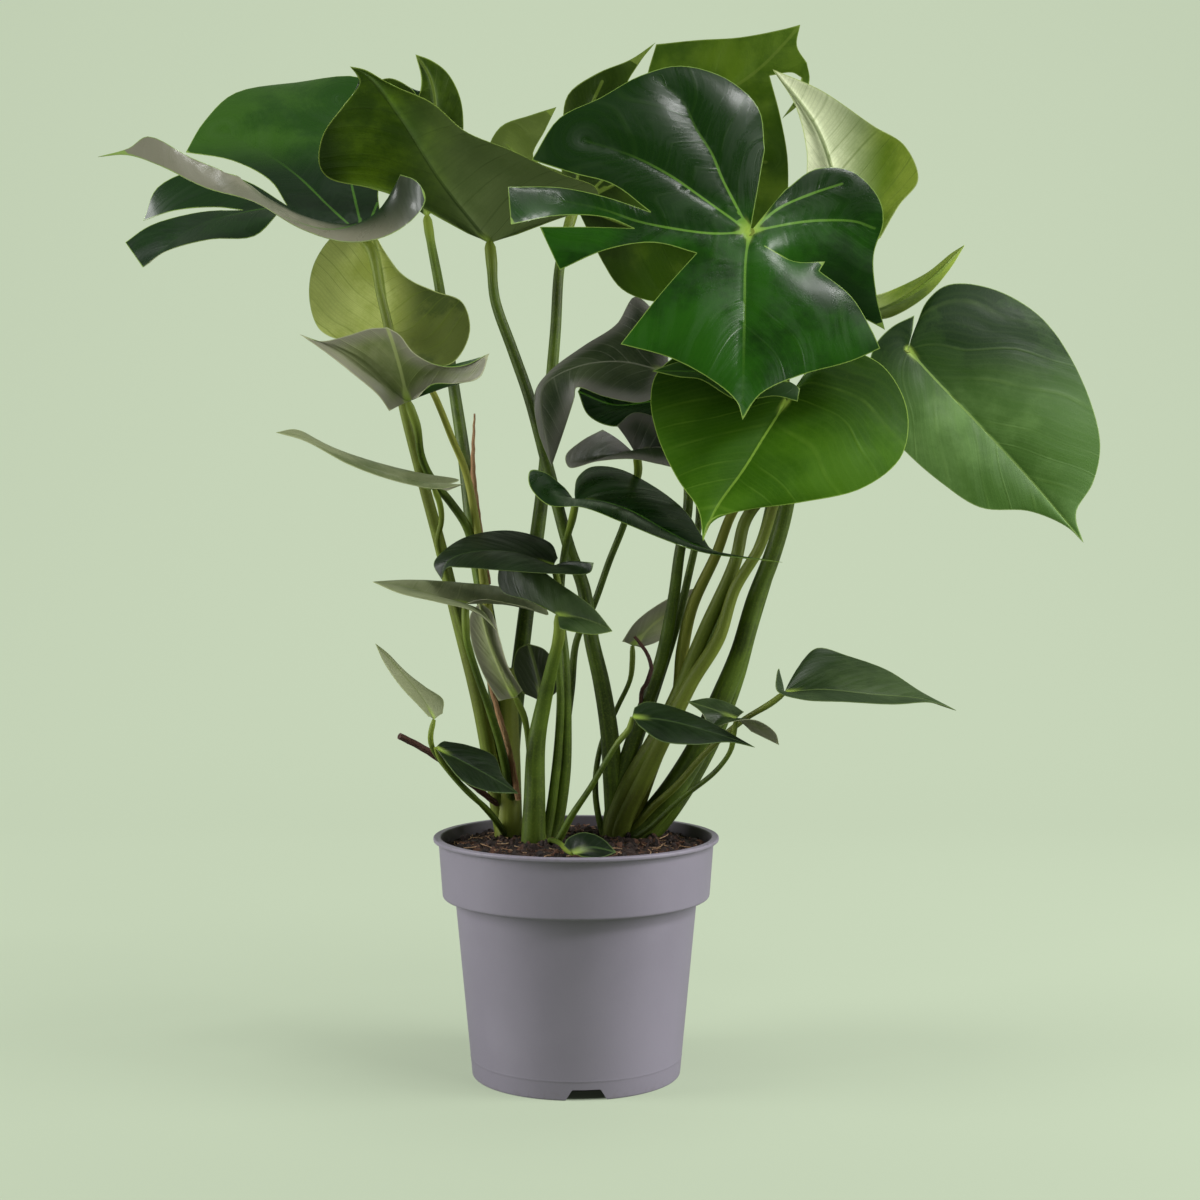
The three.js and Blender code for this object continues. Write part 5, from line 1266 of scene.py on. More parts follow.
FINISH_ROWS = {
    "top_deep": (((8, 32, 4), (18, 52, 8), PALE_VEIN, RIM_GREEN), 0.29, VEINS_TOP, 0.05, 0.02, 0.35,
                 {"coat": 0.2}),
    # Painted shade: the large front leaf is darkened above 0.735 m, over its upper lobe.
    "top_main": (((10, 42, 2), (28, 74, 4), (96, 138, 48), RIM_GREEN), 0.27, VEINS_CUT, 0.03, 0.02, 0.3,
                 {"coat": 0.16, "specular": 0.22, "shade_and_light_tints": [("Z", 0.735, 0.685, (10, 38, 2))]}),
    "top_mid": (((28, 58, 14), (46, 78, 24), PALE_VEIN, RIM_GREEN), 0.34, VEINS_TOP, 0.08, 0.03, 0.35,
                {"coat": 0.1}),
    "top_fresh": (((42, 78, 4), (60, 98, 12), LIME_VEIN, LIME_RIM), 0.36, VEINS_TOP, 0.12, 0.04, 0.3, {}),
    # Painted shade: the low front leaf is darkened above 0.585 m, where the large front leaf shades it.
    "top_low": (((45, 80, 8), (63, 100, 18), LIME_VEIN, LIME_RIM), 0.42, VEINS_TOP, 0.12, 0.04, 0.3,
                {"specular": 0.06, "shade_and_light_tints": [("Z", 0.585, 0.515, (24, 48, 2))]}),
    # Painted shade: the low right leaf is darkened from 0.54 m up, fully above 0.615 m.
    "top_dull": (((64, 96, 38), (90, 122, 62), (122, 150, 76), (124, 148, 84)), 0.42, VEINS_TOP,
                 0.09, 0.04, 0.3, {"specular": 0.13, "shade_and_light_tints": [("Z", 0.615, 0.540, (20, 44, 10))]}),
    # Partly the blade's own dull green and partly a painted grey sheen, with more of it along the margin.
    "top_grey_sheen": (((26, 40, 16), (56, 66, 42), (104, 108, 90), (110, 120, 88)), 0.42, VEINS_TOP,
                 0.4, 0.1, 0.5, {"specular": 0.3, "edge_sheen": (16.0, (104, 102, 96))}),
    "top_ash": (((88, 98, 62), (128, 134, 100), (112, 122, 78), (150, 160, 112)), 0.42, VEINS_TOP,
                0.3, 0.15, 0.5, {}),
    "top_sage": (((30, 48, 18), (56, 74, 38), (84, 102, 54), (98, 116, 62)), 0.40, VEINS_TOP,
                 0.12, 0.05, 0.4, {}),
    # Painted shade: the far left leaf is darkened below 0.755 m. Painted sheen: its strips in front of Y
    # -0.075 m turn pale grey, fading out by -0.04 m.
    "top_far": (((26, 62, 8), (46, 82, 18), PALE_VEIN, RIM_GREEN), 0.32, VEINS_CUT, 0.0, 0.03, 0.35,
                {"coat": 0.2, "shade_and_light_tints": [("Z", 0.755, 0.800, (14, 36, 14)),
                                        ("Y", -0.075, -0.04, (116, 114, 98))]}),
    "top_shade": (((10, 24, 6), (26, 42, 18), (52, 70, 36), (84, 104, 56)), 0.40, VEINS_TOP,
                  0.1, 0.05, 0.4, {"specular": 0.2}),
    "under_olive": (((40, 62, 2), (78, 104, 16), (104, 124, 44), OLIVE_RIM), 0.44, VEINS_UNDER,
                    0.12, 0.05, 0.4, {"specular": 0.25}),
    # Painted shade on the middle of the back leaf, behind the large front leaf, and painted light on its left
    # lobe, left of X -0.03 m.
    "under_back": (((54, 84, 6), (92, 120, 26), (108, 130, 48), OLIVE_RIM), 0.44, VEINS_UNDER,
                   0.0, 0.05, 0.4, {"specular": 0.25, "shade_and_light_tints": [("X", 0.03, 0.07, (36, 56, 4)),
                                                                ("X", -0.03, 0.0, (100, 118, 52))]}),
    # Painted sheen: a grey-olive over the right part of the upright leaf. Painted shade: its left end, past X
    # -0.205 m, is darkened.
    "under_upright": (((48, 74, 0), (88, 116, 12), (44, 62, 8), OLIVE_RIM), 0.44, VEINS_UNDER,
                      0.3, 0.1, 0.4, {"specular": 0.25, "shade_and_light_tints": [("X", -0.07, -0.15, (104, 120, 70)),
                                                                  ("X", -0.205, -0.175, (30, 50, 0))]}),
    # Painted shade: the right part of the pale left leaf, from X -0.125 m, is darkened.
    "under_pale": (((156, 168, 78), (192, 202, 118), (104, 122, 40), (184, 198, 120)), 0.44, VEINS_UNDER,
                   0.45, 0.25, 0.4, {"specular": 0.25, "shade_and_light_tints": [("X", -0.125, -0.165, (72, 86, 36))]}),
    # Painted light falling through the blade: a near-white tint up to X 0.20 m, fading out by 0.268 m.
    "under_white": (((98, 124, 28), (138, 158, 56), (90, 112, 34), (176, 192, 120)), 0.44, VEINS_UNDER,
                    0.45, 0.25, 0.5, {"specular": 0.25, "shade_and_light_tints": [("X", 0.20, 0.268, (228, 234, 196))]}),
    "under_grey": (((92, 104, 54), (126, 132, 92), (140, 150, 92), (164, 168, 130)), 0.46, VEINS_UNDER,
                   0.3, 0.1, 0.5, {"specular": 0.25, "edge_sheen": (14.0, (122, 119, 106))}),
    # Painted shade: a dark copy of the olive underside, for undersides that lie in shadow.
    "under_shade": (((24, 34, 8), (40, 50, 16), (68, 82, 34), (88, 102, 50)), 0.44, VEINS_UNDER,
                   0.2, 0.1, 0.5, {"specular": 0.25}),
}
finishes = {key: blade_finish("leaf_" + key, *row[:-1], **row[-1]) for key, row in FINISH_ROWS.items()}
print("leaf finishes:", len(finishes))

# %% [markdown]
# ## The leaves
#
# Each leaf now gets its two finishes, the spacing in millimetres and the slant of its side veins, and
# the strength of its quilting. Large leaves have wider spacing. A blade stands for the solid of the
# same name, and hangs on its stalk.

# %% Looks of the blades
BLADE_LOOKS = {
    "leaf_front_main": ("top_main", "under_olive", 30, 0.7, 0.2),
    "leaf_front_low": ("top_low", "under_olive", 27, 0.7, 0.8),
    "leaf_front_between": ("top_mid", "under_olive", 12, 0.6, 0.6),
    "leaf_right_low": ("top_dull", "under_olive", 36, 0.7, 1.0),
    "leaf_new_rolled": ("top_fresh", "under_white", 12, 0.5, 0.5),
    "leaf_back_large": ("top_deep", "under_back", 26, 0.7, 0.2),
    "leaf_back_pale": ("top_fresh", "under_white", 18, 0.7, 1.0),
    "leaf_left_upright": ("top_deep", "under_upright", 20, 0.7, 1.0),
    "leaf_far_left": ("top_far", "under_grey", 30, 0.7, 0.15),
    "leaf_back_left": ("top_deep", "under_olive", 16, 0.6, 0.8),
    "leaf_left_pale": ("top_fresh", "under_pale", 14, 0.8, 0.9),
    "leaf_left_cupped": ("top_mid", "under_grey", 15, 0.8, 1.2),
    "leaf_left_narrow": ("top_ash", "under_grey", 14, 0.6, 0.8),
    "leaf_mid_dark_left": ("top_shade", "under_shade", 12, 0.6, 0.7),
    "leaf_mid_left_long": ("top_ash", "under_grey", 12, 0.6, 0.7),
    "leaf_mid_front": ("top_sage", "under_olive", 12, 0.6, 0.8),
    "leaf_hanging_pale": ("top_ash", "under_grey", 10, 0.6, 0.7),
    "leaf_low_left_curl": ("top_ash", "under_grey", 10, 0.6, 0.6),
    "leaf_low_left_folded": ("top_shade", "under_shade", 10, 0.6, 0.6),
    "leaf_centre_heart": ("top_deep", "under_olive", 14, 0.6, 0.8),
    "leaf_mid_grey": ("top_grey_sheen", "under_grey", 12, 0.6, 1.0),
    "leaf_mid_black": ("top_deep", "under_shade", 12, 0.6, 0.6),
    "leaf_behind_main": ("top_grey_sheen", "under_olive", 14, 0.6, 1.2),
    "leaf_small_behind": ("top_dull", "under_grey", 10, 0.6, 0.7),
    "leaf_low_right_dark": ("top_shade", "under_shade", 10, 0.6, 0.8),
    "leaf_low_right_small": ("top_sage", "under_grey", 9, 0.6, 0.7),
    "leaf_low_right_long": ("top_sage", "under_shade", 13, 0.6, 0.9),
    "leaf_rim_front": ("top_shade", "under_olive", 8, 0.6, 0.5),
    "leaf_behind_stems": ("top_mid", "under_shade", 9, 0.6, 0.5),
}
print("leaves with a look:", len(BLADE_LOOKS))

# %% Make the blades
FULL_RELIEF_LENGTH, RELIEF_LEAST, RELIEF_MOST = 120, 0.35, 1.1

triangles = 0
for name, leaf in LEAVES.items():
    top, under, spacing, tilt, quilt = BLADE_LOOKS[name]
    points, faces, measures = filled_blade(name, leaf) if name in VEINS else grid_blade(leaf)
    if long_normals(points, faces).sum(axis=0).dot(unit(leaf["up"])) < 0:
        faces = faces[:, ::-1].copy()
    scale = max(min(measures["along"].max() / FULL_RELIEF_LENGTH, RELIEF_MOST), RELIEF_LEAST)
    look = {"spacing": spacing, "tilt": tilt, "quilt": quilt, "scale": scale}
    points, faces, sides = two_sided(points, faces, measures, look)
    doubled = {key: np.concatenate([values, values]) for key, values in measures.items()}
    piece = mesh_object(name.replace("leaf_", "blade_"), points, faces, doubled,
                        [finishes[top], finishes[under]], sides)
    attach(piece, "root")
    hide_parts(name)
    triangles += sides.count(0) * 2
print("blades:", len(LEAVES), "triangles about", triangles)

# %% [markdown]
# ## Stalk finish
#
# A Monstera stalk is smooth and green, with fine lengthwise lines and pale freckles. It turns
# yellow-green at the swollen joint just under the blade, and olive where its foot clasps the stem.
# The finish reads four things from the mesh: the way round the stalk as a point on a circle, so that
# the lines close without a seam, the distances from the blade and from the foot, and how warm the
# stalk's green is.

# %% Stalk finish
STALK_DEEP, STALK_LIGHT = srgb(32, 52, 4), srgb(74, 98, 22)
STALK_JOINT, STALK_FOOT, STALK_WARM = srgb(128, 144, 50), srgb(56, 66, 18), srgb(150, 152, 62)
STALK_MOTTLE, STALK_ROUGHNESS = 45.0, 0.48
STALK_BUMP, STALK_BUMP_DEPTH = 0.45, 0.0009


def lengthwise_lines(tree, stretch, scale, detail, rough):
    """Lines along a stalk: noise on its ring, drawn out along its run."""
    run = times(tree, attribute(tree, "run"), stretch)
    lift = node(tree, "ShaderNodeCombineXYZ", {"Z": run}).outputs[0]
    lined = vector_calc(tree, "ADD", attribute(tree, "ring", "Vector"), lift)
    return noise(tree, lined, scale, detail, rough)


green_stalk, tree, shader = new_material("stalk_green")
lines = lengthwise_lines(tree, 3.0, 3.4, 4.0, 0.6)
mottle = group_outputs(tree, mottle_group, {"Vector": object_place(tree), "Scale": STALK_MOTTLE})
mixed = calc(tree, "MULTIPLY_ADD", mottle["Patches"], 0.35, times(tree, lines, 0.75))
near_blade = spread(tree, attribute(tree, "run"), 0.008, 0.045, 1.0, 0.0)
near_foot = spread(tree, attribute(tree, "foot"), 0.09, 0.0)
colour = blend_colours(tree, spread(tree, mixed, 0.3, 0.75), STALK_DEEP, STALK_LIGHT)
colour = laid_over(tree, colour, STALK_JOINT, mottle["Specks"], 0.22)
colour = blend_colours(tree, attribute(tree, "warm"), colour, STALK_WARM)
colour = laid_over(tree, colour, STALK_JOINT, near_blade, 0.6)
colour = laid_over(tree, colour, STALK_FOOT, near_foot, 0.45)
gloss = spread(tree, lines, 0.2, 0.8, STALK_ROUGHNESS - 0.07, STALK_ROUGHNESS + 0.1)
relief = calc(tree, "MULTIPLY_ADD", mottle["Specks"], 0.15, lines)
set_surface(tree, shader, colour, gloss, relief, STALK_BUMP, STALK_BUMP_DEPTH)
shader.inputs["Specular IOR Level"].default_value = 0.28
print("stalk finish:", green_stalk.name)

# %% [markdown]
# ## Stalks
#
# A stalk follows a path, so it is made with Geometry Nodes: the path is a chain of points that carry
# their own thickness, the tree turns it into a curve, sweeps a circle along it, closes the ends and
# sets the finish. All stalks of one crown go through the tree together, with its stem, and come out
# as one mesh.

# %% Trees of nodes
SOCKET_KINDS = {int: "NodeSocketInt", float: "NodeSocketFloat", type(None): "NodeSocketMaterial"}


def new_tree(name, values):
    """A Geometry Nodes tree with named inputs: numbers, and a material where the value is None."""
    tree = bpy.data.node_groups.new(name, "GeometryNodeTree")
    tree.interface.new_socket("Geometry", in_out="INPUT", socket_type="NodeSocketGeometry")
    for label, value in values.items():
        kind = SOCKET_KINDS[type(value)]
        socket = tree.interface.new_socket(label, in_out="INPUT", socket_type=kind)
        if value is not None:
            socket.default_value = value
    tree.interface.new_socket("Geometry", in_out="OUTPUT", socket_type="NodeSocketGeometry")
    return tree, tree.nodes.new("NodeGroupInput").outputs, tree.nodes.new("NodeGroupOutput").inputs


def made_by(tree, kind, inputs=None, **settings):
    """The first output of a node."""
    return node(tree, kind, inputs, **settings).outputs[0]


def end_tree(tree, geometry, given, result):
    """End a tree with real geometry and its material."""
    real = made_by(tree, "GeometryNodeRealizeInstances", {"Geometry": geometry})
    dressed = made_by(tree, "GeometryNodeSetMaterial", {"Geometry": real, "Material": given["Finish"]})
    tree.links.new(dressed, result["Geometry"])


def run_tree(name, piece, tree, values):
    """Run a tree on an object and keep the result as a plain mesh in a new object."""
    modifier = piece.modifiers.new("shape", "NODES")
    modifier.node_group = tree
    for item in tree.interface.items_tree:
        if item.item_type == "SOCKET" and item.in_out == "INPUT" and item.name in values:
            modifier[item.identifier] = values[item.name]
    piece.update_tag()
    evaluated = piece.evaluated_get(bpy.context.evaluated_depsgraph_get())
    mesh = bpy.data.meshes.new_from_object(evaluated)
    piece.modifiers.remove(modifier)
    bpy.data.objects.remove(piece)
    mesh.name = name
    return placed(name, mesh)


print("a tree's inputs can be:", ", ".join(kind.__name__ for kind in SOCKET_KINDS))

# %% Stalk tree
STALK_SIDES, STRAND_SIDES = 14, 12

stalk_tree, given, result = new_tree("stalk_sweep", {"Sides": STALK_SIDES, "Finish": None})
t = stalk_tree
thick = made_by(t, "GeometryNodeInputNamedAttribute", {"Name": "thick"}, data_type="FLOAT")
curve = made_by(t, "GeometryNodeMeshToCurve", {"Mesh": given["Geometry"]})
sized = made_by(t, "GeometryNodeSetCurveRadius", {"Curve": curve, "Radius": thick})
circle = made_by(t, "GeometryNodeCurvePrimitiveCircle", {"Resolution": given["Sides"], "Radius": 1.0})
ring = {"Geometry": circle, "Name": "ring", "Value": made_by(t, "GeometryNodeInputPosition")}
profile = made_by(t, "GeometryNodeStoreNamedAttribute", ring, data_type="FLOAT_VECTOR")
sweep = {"Curve": sized, "Profile Curve": profile, "Scale": thick, "Fill Caps": True}
swept = made_by(t, "GeometryNodeCurveToMesh", sweep)
end_tree(t, made_by(t, "GeometryNodeSetShadeSmooth", {"Geometry": swept}), given, result)
print("stalk tree nodes:", len(stalk_tree.nodes))

# %% [markdown]
# A stalk has a swollen joint, about two centimetres long, under its blade, then stays even, and
# widens to its foot. The paths start inside the blade's rib, so no gap shows at the join, and end
# where all stalks of a crown meet in the soil. A few stalks are yellower than the rest.

# %% Paths of the stalks
PATH_SPACING, PATH_STEPS = 5.0, 12
JOINT_LENGTH, JOINT_SWELL, JOINT_TOP = 17.0, 0.22, 0.72


def stalk_path(rows, radii, warmth, swell=True):
    """Points and measures along one stalk, from its blade to its foot."""
    fine = sampled(as_points(rows), (len(rows) - 1) * PATH_STEPS + 1)
    line = resampled(fine, PATH_SPACING)
    run = lengths_along(line)
    share = np.interp(run, lengths_along(fine), np.linspace(0, 1, len(fine)))
    thick = np.interp(share, [0, 0.5, 1], radii)
    if swell:
        thick *= 1 + JOINT_SWELL * np.exp(-((run - JOINT_LENGTH * 0.5) / JOINT_LENGTH) ** 4)
        thick[0] *= JOINT_TOP
    warm = np.full(len(line), warmth / MM)
    return line, {"thick": thick, "run": run, "warm": warm, "foot": run[-1] - run}


def paths_object(name, stalks):
    """All paths as one mesh of chains, with their measures in metres."""
    points = np.vstack([line for line, _ in stalks])
    edges = []
    start = 0
    for line, _ in stalks:
        edges += [(i, i + 1) for i in range(start, start + len(line) - 1)]
        start += len(line)
    mesh = bpy.data.meshes.new(name)
    mesh.from_pydata((points * MM).tolist(), edges, [])
    for key in stalks[0][1]:
        layer = mesh.attributes.new(key, "FLOAT", "POINT")
        values = np.concatenate([measures[key] for _, measures in stalks])
        layer.data.foreach_set("value", np.asarray(values * MM, np.float32))
    return placed(name, mesh)


print("swollen joints:", JOINT_LENGTH, "mm long")

# %% Make the stalks
ROOT_DEPTH, STEM_SINK = 172, 4
STEM_TOP_SHARE, STEM_WARMTH, USUAL_WARMTH = 0.7, 0.45, 0.05
WARMTH = {"leaf_new_rolled": 0.75, "leaf_left_pale": 0.7, "leaf_far_left": 0.25, "leaf_right_low": 0.25,
          "leaf_left_narrow": 0.2, "leaf_front_low": 0.3, "leaf_low_right_long": 0.3}

for name, crown in CROWNS.items():
    x, y = crown["foot"]
    low, high = crown["radius"]
    top = crown["top"]
    stem = [[x, y, top], [x, y, (top + ROOT_DEPTH) / 2], [x, y, ROOT_DEPTH - STEM_SINK]]
    stalks = [stalk_path(stem, [high * STEM_TOP_SHARE, high, low], STEM_WARMTH, swell=False)]
    for leaf, (radii, path) in crown["stalks"].items():
        path = [LEAVES[leaf]["join"]] + path + [[x, y, ROOT_DEPTH]]
        stalks.append(stalk_path(path, radii, WARMTH.get(leaf, USUAL_WARMTH)))
    piece = run_tree(name.replace("stems", "stalks"), paths_object(name + "_paths", stalks), stalk_tree,
                     {"Sides": STALK_SIDES, "Finish": green_stalk})
    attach(piece, "root")
    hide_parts(name)
    print(piece.name, "stalks:", len(stalks) - 1, "faces:", len(piece.data.polygons))

# %% [markdown]
# ## Roots and sheaths
#
# Aerial roots are dark brown and rough, like thin twigs. The papery sheaths are what is left of the
# leaves' wrappings: dry, streaked, from straw to red-brown. Both follow paths, so the stalk tree
# makes them too.

# %% Dry finishes
DRY_MOTTLE, DRY_BUMP, DRY_BUMP_DEPTH = 90.0, 0.8, 0.0012


def dry_finish(name, deep, light, streak, rough):
    """Dry brown plant matter: lengthwise streaks over a mottled ground."""
    material, tree, shader = new_material(name)
    lines = lengthwise_lines(tree, 18.0, 3.0, 5.0, 0.7)
    mottle = group_outputs(tree, mottle_group, {"Vector": object_place(tree), "Scale": DRY_MOTTLE})
    colour = blend_colours(tree, mottle["Patches"], deep, light)
    colour = blend_colours(tree, spread(tree, lines, 0.45, 0.7), colour, streak)
    gloss = spread(tree, lines, 0.2, 0.8, rough - 0.1, rough + 0.1)
    relief = calc(tree, "MULTIPLY_ADD", mottle["Specks"], 0.5, lines)
    set_surface(tree, shader, colour, gloss, relief, DRY_BUMP, DRY_BUMP_DEPTH)
    return material


root_bark = dry_finish("root_bark", srgb(46, 22, 20), srgb(74, 38, 30), srgb(104, 66, 50), 0.7)
sheath_paper = dry_finish("sheath_paper", srgb(120, 78, 48), srgb(158, 118, 78), srgb(188, 158, 112), 0.75)
print("dry finishes:", root_bark.name, sheath_paper.name)

# %% Make the roots and sheaths
WANDER_PACE, WANDER = 0.45, np.array([[0.25, 0.2, 0.0]])

for name, (radii, path) in BROWN.items():
    slot, finish = ("root", root_bark) if name.startswith("root") else ("sheath", sheath_paper)
    line, measures = stalk_path(path, radii, 0.0, swell=False)
    wander = np.sin(measures["run"] * WANDER_PACE)[:, None] * WANDER
    piece = run_tree(name + "_dry", paths_object(name + "_path", [(line + wander, measures)]), stalk_tree,
                     {"Sides": STRAND_SIDES, "Finish": finish})
    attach(piece, "root")
    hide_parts(name)
    print(piece.name, "faces:", len(piece.data.polygons))

# %% [markdown]
# ## Pot
#
# The nursery pot is injection-moulded: a thin wall of even thickness, every corner rounded, a wide
# stacking band under the lip and low feet with drainage notches between. It is turned from one
# outline, whose corners are rounded by a rule, and the notches are cut with rounded punches. Each row
# of the outline is a distance from the axis, a height and a corner's radius.

# %% Rounded corners
EDGE_GUARD, CORNER_STEPS = 0.7, 5
TRIM_MOST, GUARD_MOST = 0.45, 0.48


def arc_corner(before, corner, after, radius):
    """A rounded corner between two straight lines; a point beside each end keeps the shading flat."""
    before, corner, after = (np.array(p, float) for p in (before, corner, after))
    one, two = before - corner, after - corner
    one_length, two_length = np.linalg.norm(one), np.linalg.norm(two)
    angle = math.acos(np.clip(unit(one).dot(unit(two)), -1, 1))
    trim = min(radius / math.tan(angle / 2), min(one_length, two_length) * TRIM_MOST)
    start, end = corner + unit(one) * trim, corner + unit(two) * trim
    points = []
    for s in (i / CORNER_STEPS for i in range(CORNER_STEPS + 1)):
        points.append((1 - s) ** 2 * start + 2 * s * (1 - s) * corner + s ** 2 * end)
    if trim + EDGE_GUARD < one_length * GUARD_MOST:
        points.insert(0, start + unit(one) * EDGE_GUARD)
    if trim + EDGE_GUARD < two_length * GUARD_MOST:
        points.append(end + unit(two) * EDGE_GUARD)
    return points


def rounded(outline, closed):
    """An outline with its corners rounded; each row is two coordinates and a radius."""
    points = []
    count = len(outline)
    for i, (x, y, radius) in enumerate(outline):
        if radius == 0 or (not closed and i in (0, count - 1)):
            points.append(np.array([x, y], float))
        else:
            points += arc_corner(outline[i - 1][:2], (x, y), outline[(i + 1) % count][:2], radius)
    return points


print("a right angle becomes", len(arc_corner((0, 9), (0, 0), (9, 0), 1)), "points")

# %% Pot outline
POT = {"height": 200, "lip": 120, "lip_height": 3.2, "band_top": 115.5, "band_bottom": 112.5,
       "band_low": 150, "body_top": 101.5, "base": 87.5, "wall": 2.2, "disc": 60, "channel": 10,
       "floor": 3, "foot": 3, "seam": 15.0}
SEAM = ((-1.0, 0.0), (0.0, 0.0), (0.6, 0.22), (1.4, 0.1), (2.4, 0.0))


def body_radius(z):
    """The outside of the tapered body."""
    return POT["base"] + (POT["body_top"] - POT["base"]) * z / POT["band_low"]


def inner_wall(z):
    """The inside of the wall, in the body and in the band."""
    if z > POT["band_low"]:
        share = (z - POT["band_low"]) / (POT["height"] - POT["band_low"])
        return POT["band_bottom"] + (POT["band_top"] - POT["band_bottom"]) * share - POT["wall"]
    return body_radius(z) - POT["wall"]


low_lip = POT["height"] - POT["lip_height"]
over_channel = POT["channel"] + POT["floor"]
pot_outline = rounded([
    (0, 0, 0), (POT["disc"], 0, 1.0), (POT["disc"] + 2, POT["channel"], 1.0),
    (POT["base"] - POT["foot"] - 0.4, POT["channel"], 0.8), (POT["base"] - POT["foot"], 0, 0.8),
    (POT["base"], 0, 1.4),
    *[(body_radius(POT["seam"] + up) + proud, POT["seam"] + up, 0) for up, proud in SEAM],
    (POT["body_top"], POT["band_low"] - 2, 1.5),
    (POT["band_bottom"] - 0.4, POT["band_low"], 2.2), (POT["band_top"], low_lip - 0.5, 1.2),
    (POT["lip"] - 0.3, low_lip, 1.2), (POT["lip"], POT["height"], 1.6),
    (inner_wall(POT["height"]), POT["height"], 1.2),
    (inner_wall(POT["band_low"] + 3), POT["band_low"] + POT["wall"], 1.2),
    (inner_wall(POT["band_low"]), POT["band_low"], 1.0),
    (inner_wall(over_channel), over_channel, 1.0), (POT["disc"] + 0.4, over_channel, 0.8),
    (POT["disc"] - 1.6, POT["floor"], 0.8), (0, POT["floor"], 0),
], closed=False)
print("pot outline points:", len(pot_outline))

# %% Turn the pot
POT_SIDES = 160
BLANK_SHARP = 60


def circle_points(radius, count):
    """Points of a circle about the axis."""
    turns = [2 * math.pi * k / count for k in range(count)]
    return [(radius * math.cos(turn), radius * math.sin(turn)) for turn in turns]


def lathe(name, outline, sides):
    """Turn an outline of (radius, height) about the upright axis."""
    points, faces, rings = [], [], []
    for radius, height in outline:
        if radius < 1e-6:
            rings.append([len(points)] * sides)
            points.append((0.0, 0.0, height))
            continue
        rings.append(list(range(len(points), len(points) + sides)))
        points += [(x, y, height) for x, y in circle_points(radius, sides)]
    for lower, upper in zip(rings[:-1], rings[1:]):
        for k in range(sides):
            m = (k + 1) % sides
            face = list(dict.fromkeys((lower[k], lower[m], upper[m], upper[k])))
            if len(face) > 2:
                faces.append(face)
    return mesh_object(name, points, faces, sharp=BLANK_SHARP)


blank = lathe("pot_blank", pot_outline, POT_SIDES)
print("turned blank faces:", len(blank.data.polygons))

# %% Cut its notches and drain holes
NOTCHES, NOTCH_TOP, NOTCH_BOTTOM, NOTCH_HEIGHT, NOTCH_TURN = 3, 23, 36, 9, 6
NOTCH_CORNER, NOTCH_REACH, NOTCH_UNDER = 2.5, 16, 2
DRAIN_RADIUS, DRAIN_SIDES, DRAIN_REACH = 5.5, 24, 3
POT_SHARP = 45


def punch(name, front, back, turn):
    """A cutter between two outlines, turned about the upright axis."""
    count = len(front)
    c, s = math.cos(turn), math.sin(turn)
    points = [(x * c - y * s, x * s + y * c, z) for x, y, z in front + back]
    faces = [list(range(count)), list(range(2 * count - 1, count - 1, -1))]
    faces += [[(i + 1) % count, i, i + count, (i + 1) % count + count] for i in range(count)]
    cutter = mesh_object(name, points, faces)
    shape = bmesh.new()
    shape.from_mesh(cutter.data)
    bmesh.ops.recalc_face_normals(shape, faces=shape.faces)
    shape.to_mesh(cutter.data)
    shape.free()
    return cutter


notch_outline = rounded([
    (-NOTCH_BOTTOM / 2, -NOTCH_UNDER, 0), (NOTCH_BOTTOM / 2, -NOTCH_UNDER, 0),
    (NOTCH_TOP / 2, NOTCH_HEIGHT, NOTCH_CORNER), (-NOTCH_TOP / 2, NOTCH_HEIGHT, NOTCH_CORNER)], closed=True)
drain_outline = circle_points(DRAIN_RADIUS, DRAIN_SIDES)
drain_centre = (POT["disc"] + POT["base"] - 2) / 2
cutters = []
for i in range(NOTCHES):
    turn = 2 * math.pi * i / NOTCHES + math.radians(NOTCH_TURN)
    front, back = ([(x, y - POT["base"], z) for x, z in notch_outline] for y in (-NOTCH_REACH, NOTCH_REACH))
    cutters.append(punch(f"notch_{i}", front, back, turn))
    low, high = ([(x, y - drain_centre, z) for x, y in drain_outline]
                 for z in (POT["channel"] - DRAIN_REACH, over_channel + DRAIN_REACH))
    cutters.append(punch(f"drain_{i}", low, high, turn))
for cutter in cutters:
    cut = blank.modifiers.new(cutter.name, "BOOLEAN")
    cut.operation = "DIFFERENCE"
    cut.solver = "EXACT"
    cut.object = cutter
pot_mesh = bpy.data.meshes.new_from_object(blank.evaluated_get(bpy.context.evaluated_depsgraph_get()))
for used in cutters + [blank]:
    bpy.data.objects.remove(used)
pot_mesh.name = "pot_moulded"
pot_mesh.shade_smooth()
pot_mesh.set_sharp_from_angle(angle=math.radians(POT_SHARP))
pot_piece = placed("pot_moulded", pot_mesh)
print("pot faces:", len(pot_mesh.polygons))

# %% [markdown]
# The plastic is a matte blue-grey. Its surface has the faint orange-peel of a mould, the wall is a
# little darker in patches where it was handled, and a fine dust of soil lies near the lip and foot.
# The inside of the wall is painted dark grey from the band up, as a painted shade.

# %% Pot finish
POT_DARK, POT_LIGHT = srgb(124, 118, 132), srgb(130, 124, 138)
POT_DUST, POT_INNER_SHADE = srgb(96, 84, 78), srgb(62, 58, 60)
PEEL_SCALE, PEEL_BUMP, PEEL_DEPTH = 420.0, 0.12, 0.0004

pot_plastic, tree, shader = new_material("pot_plastic")
place = object_place(tree)
mottle = group_outputs(tree, mottle_group, {"Vector": place, "Scale": 16.0})
height = along_axis(tree, place, "Z")
near_foot = spread(tree, height, 0.0, 0.010, 1.0, 0.0)
near_lip = spread(tree, height, 0.186, 0.2, 0.0, 1.0)
dusty = times(tree, calc(tree, "MAXIMUM", near_foot, near_lip), mottle["Specks"])
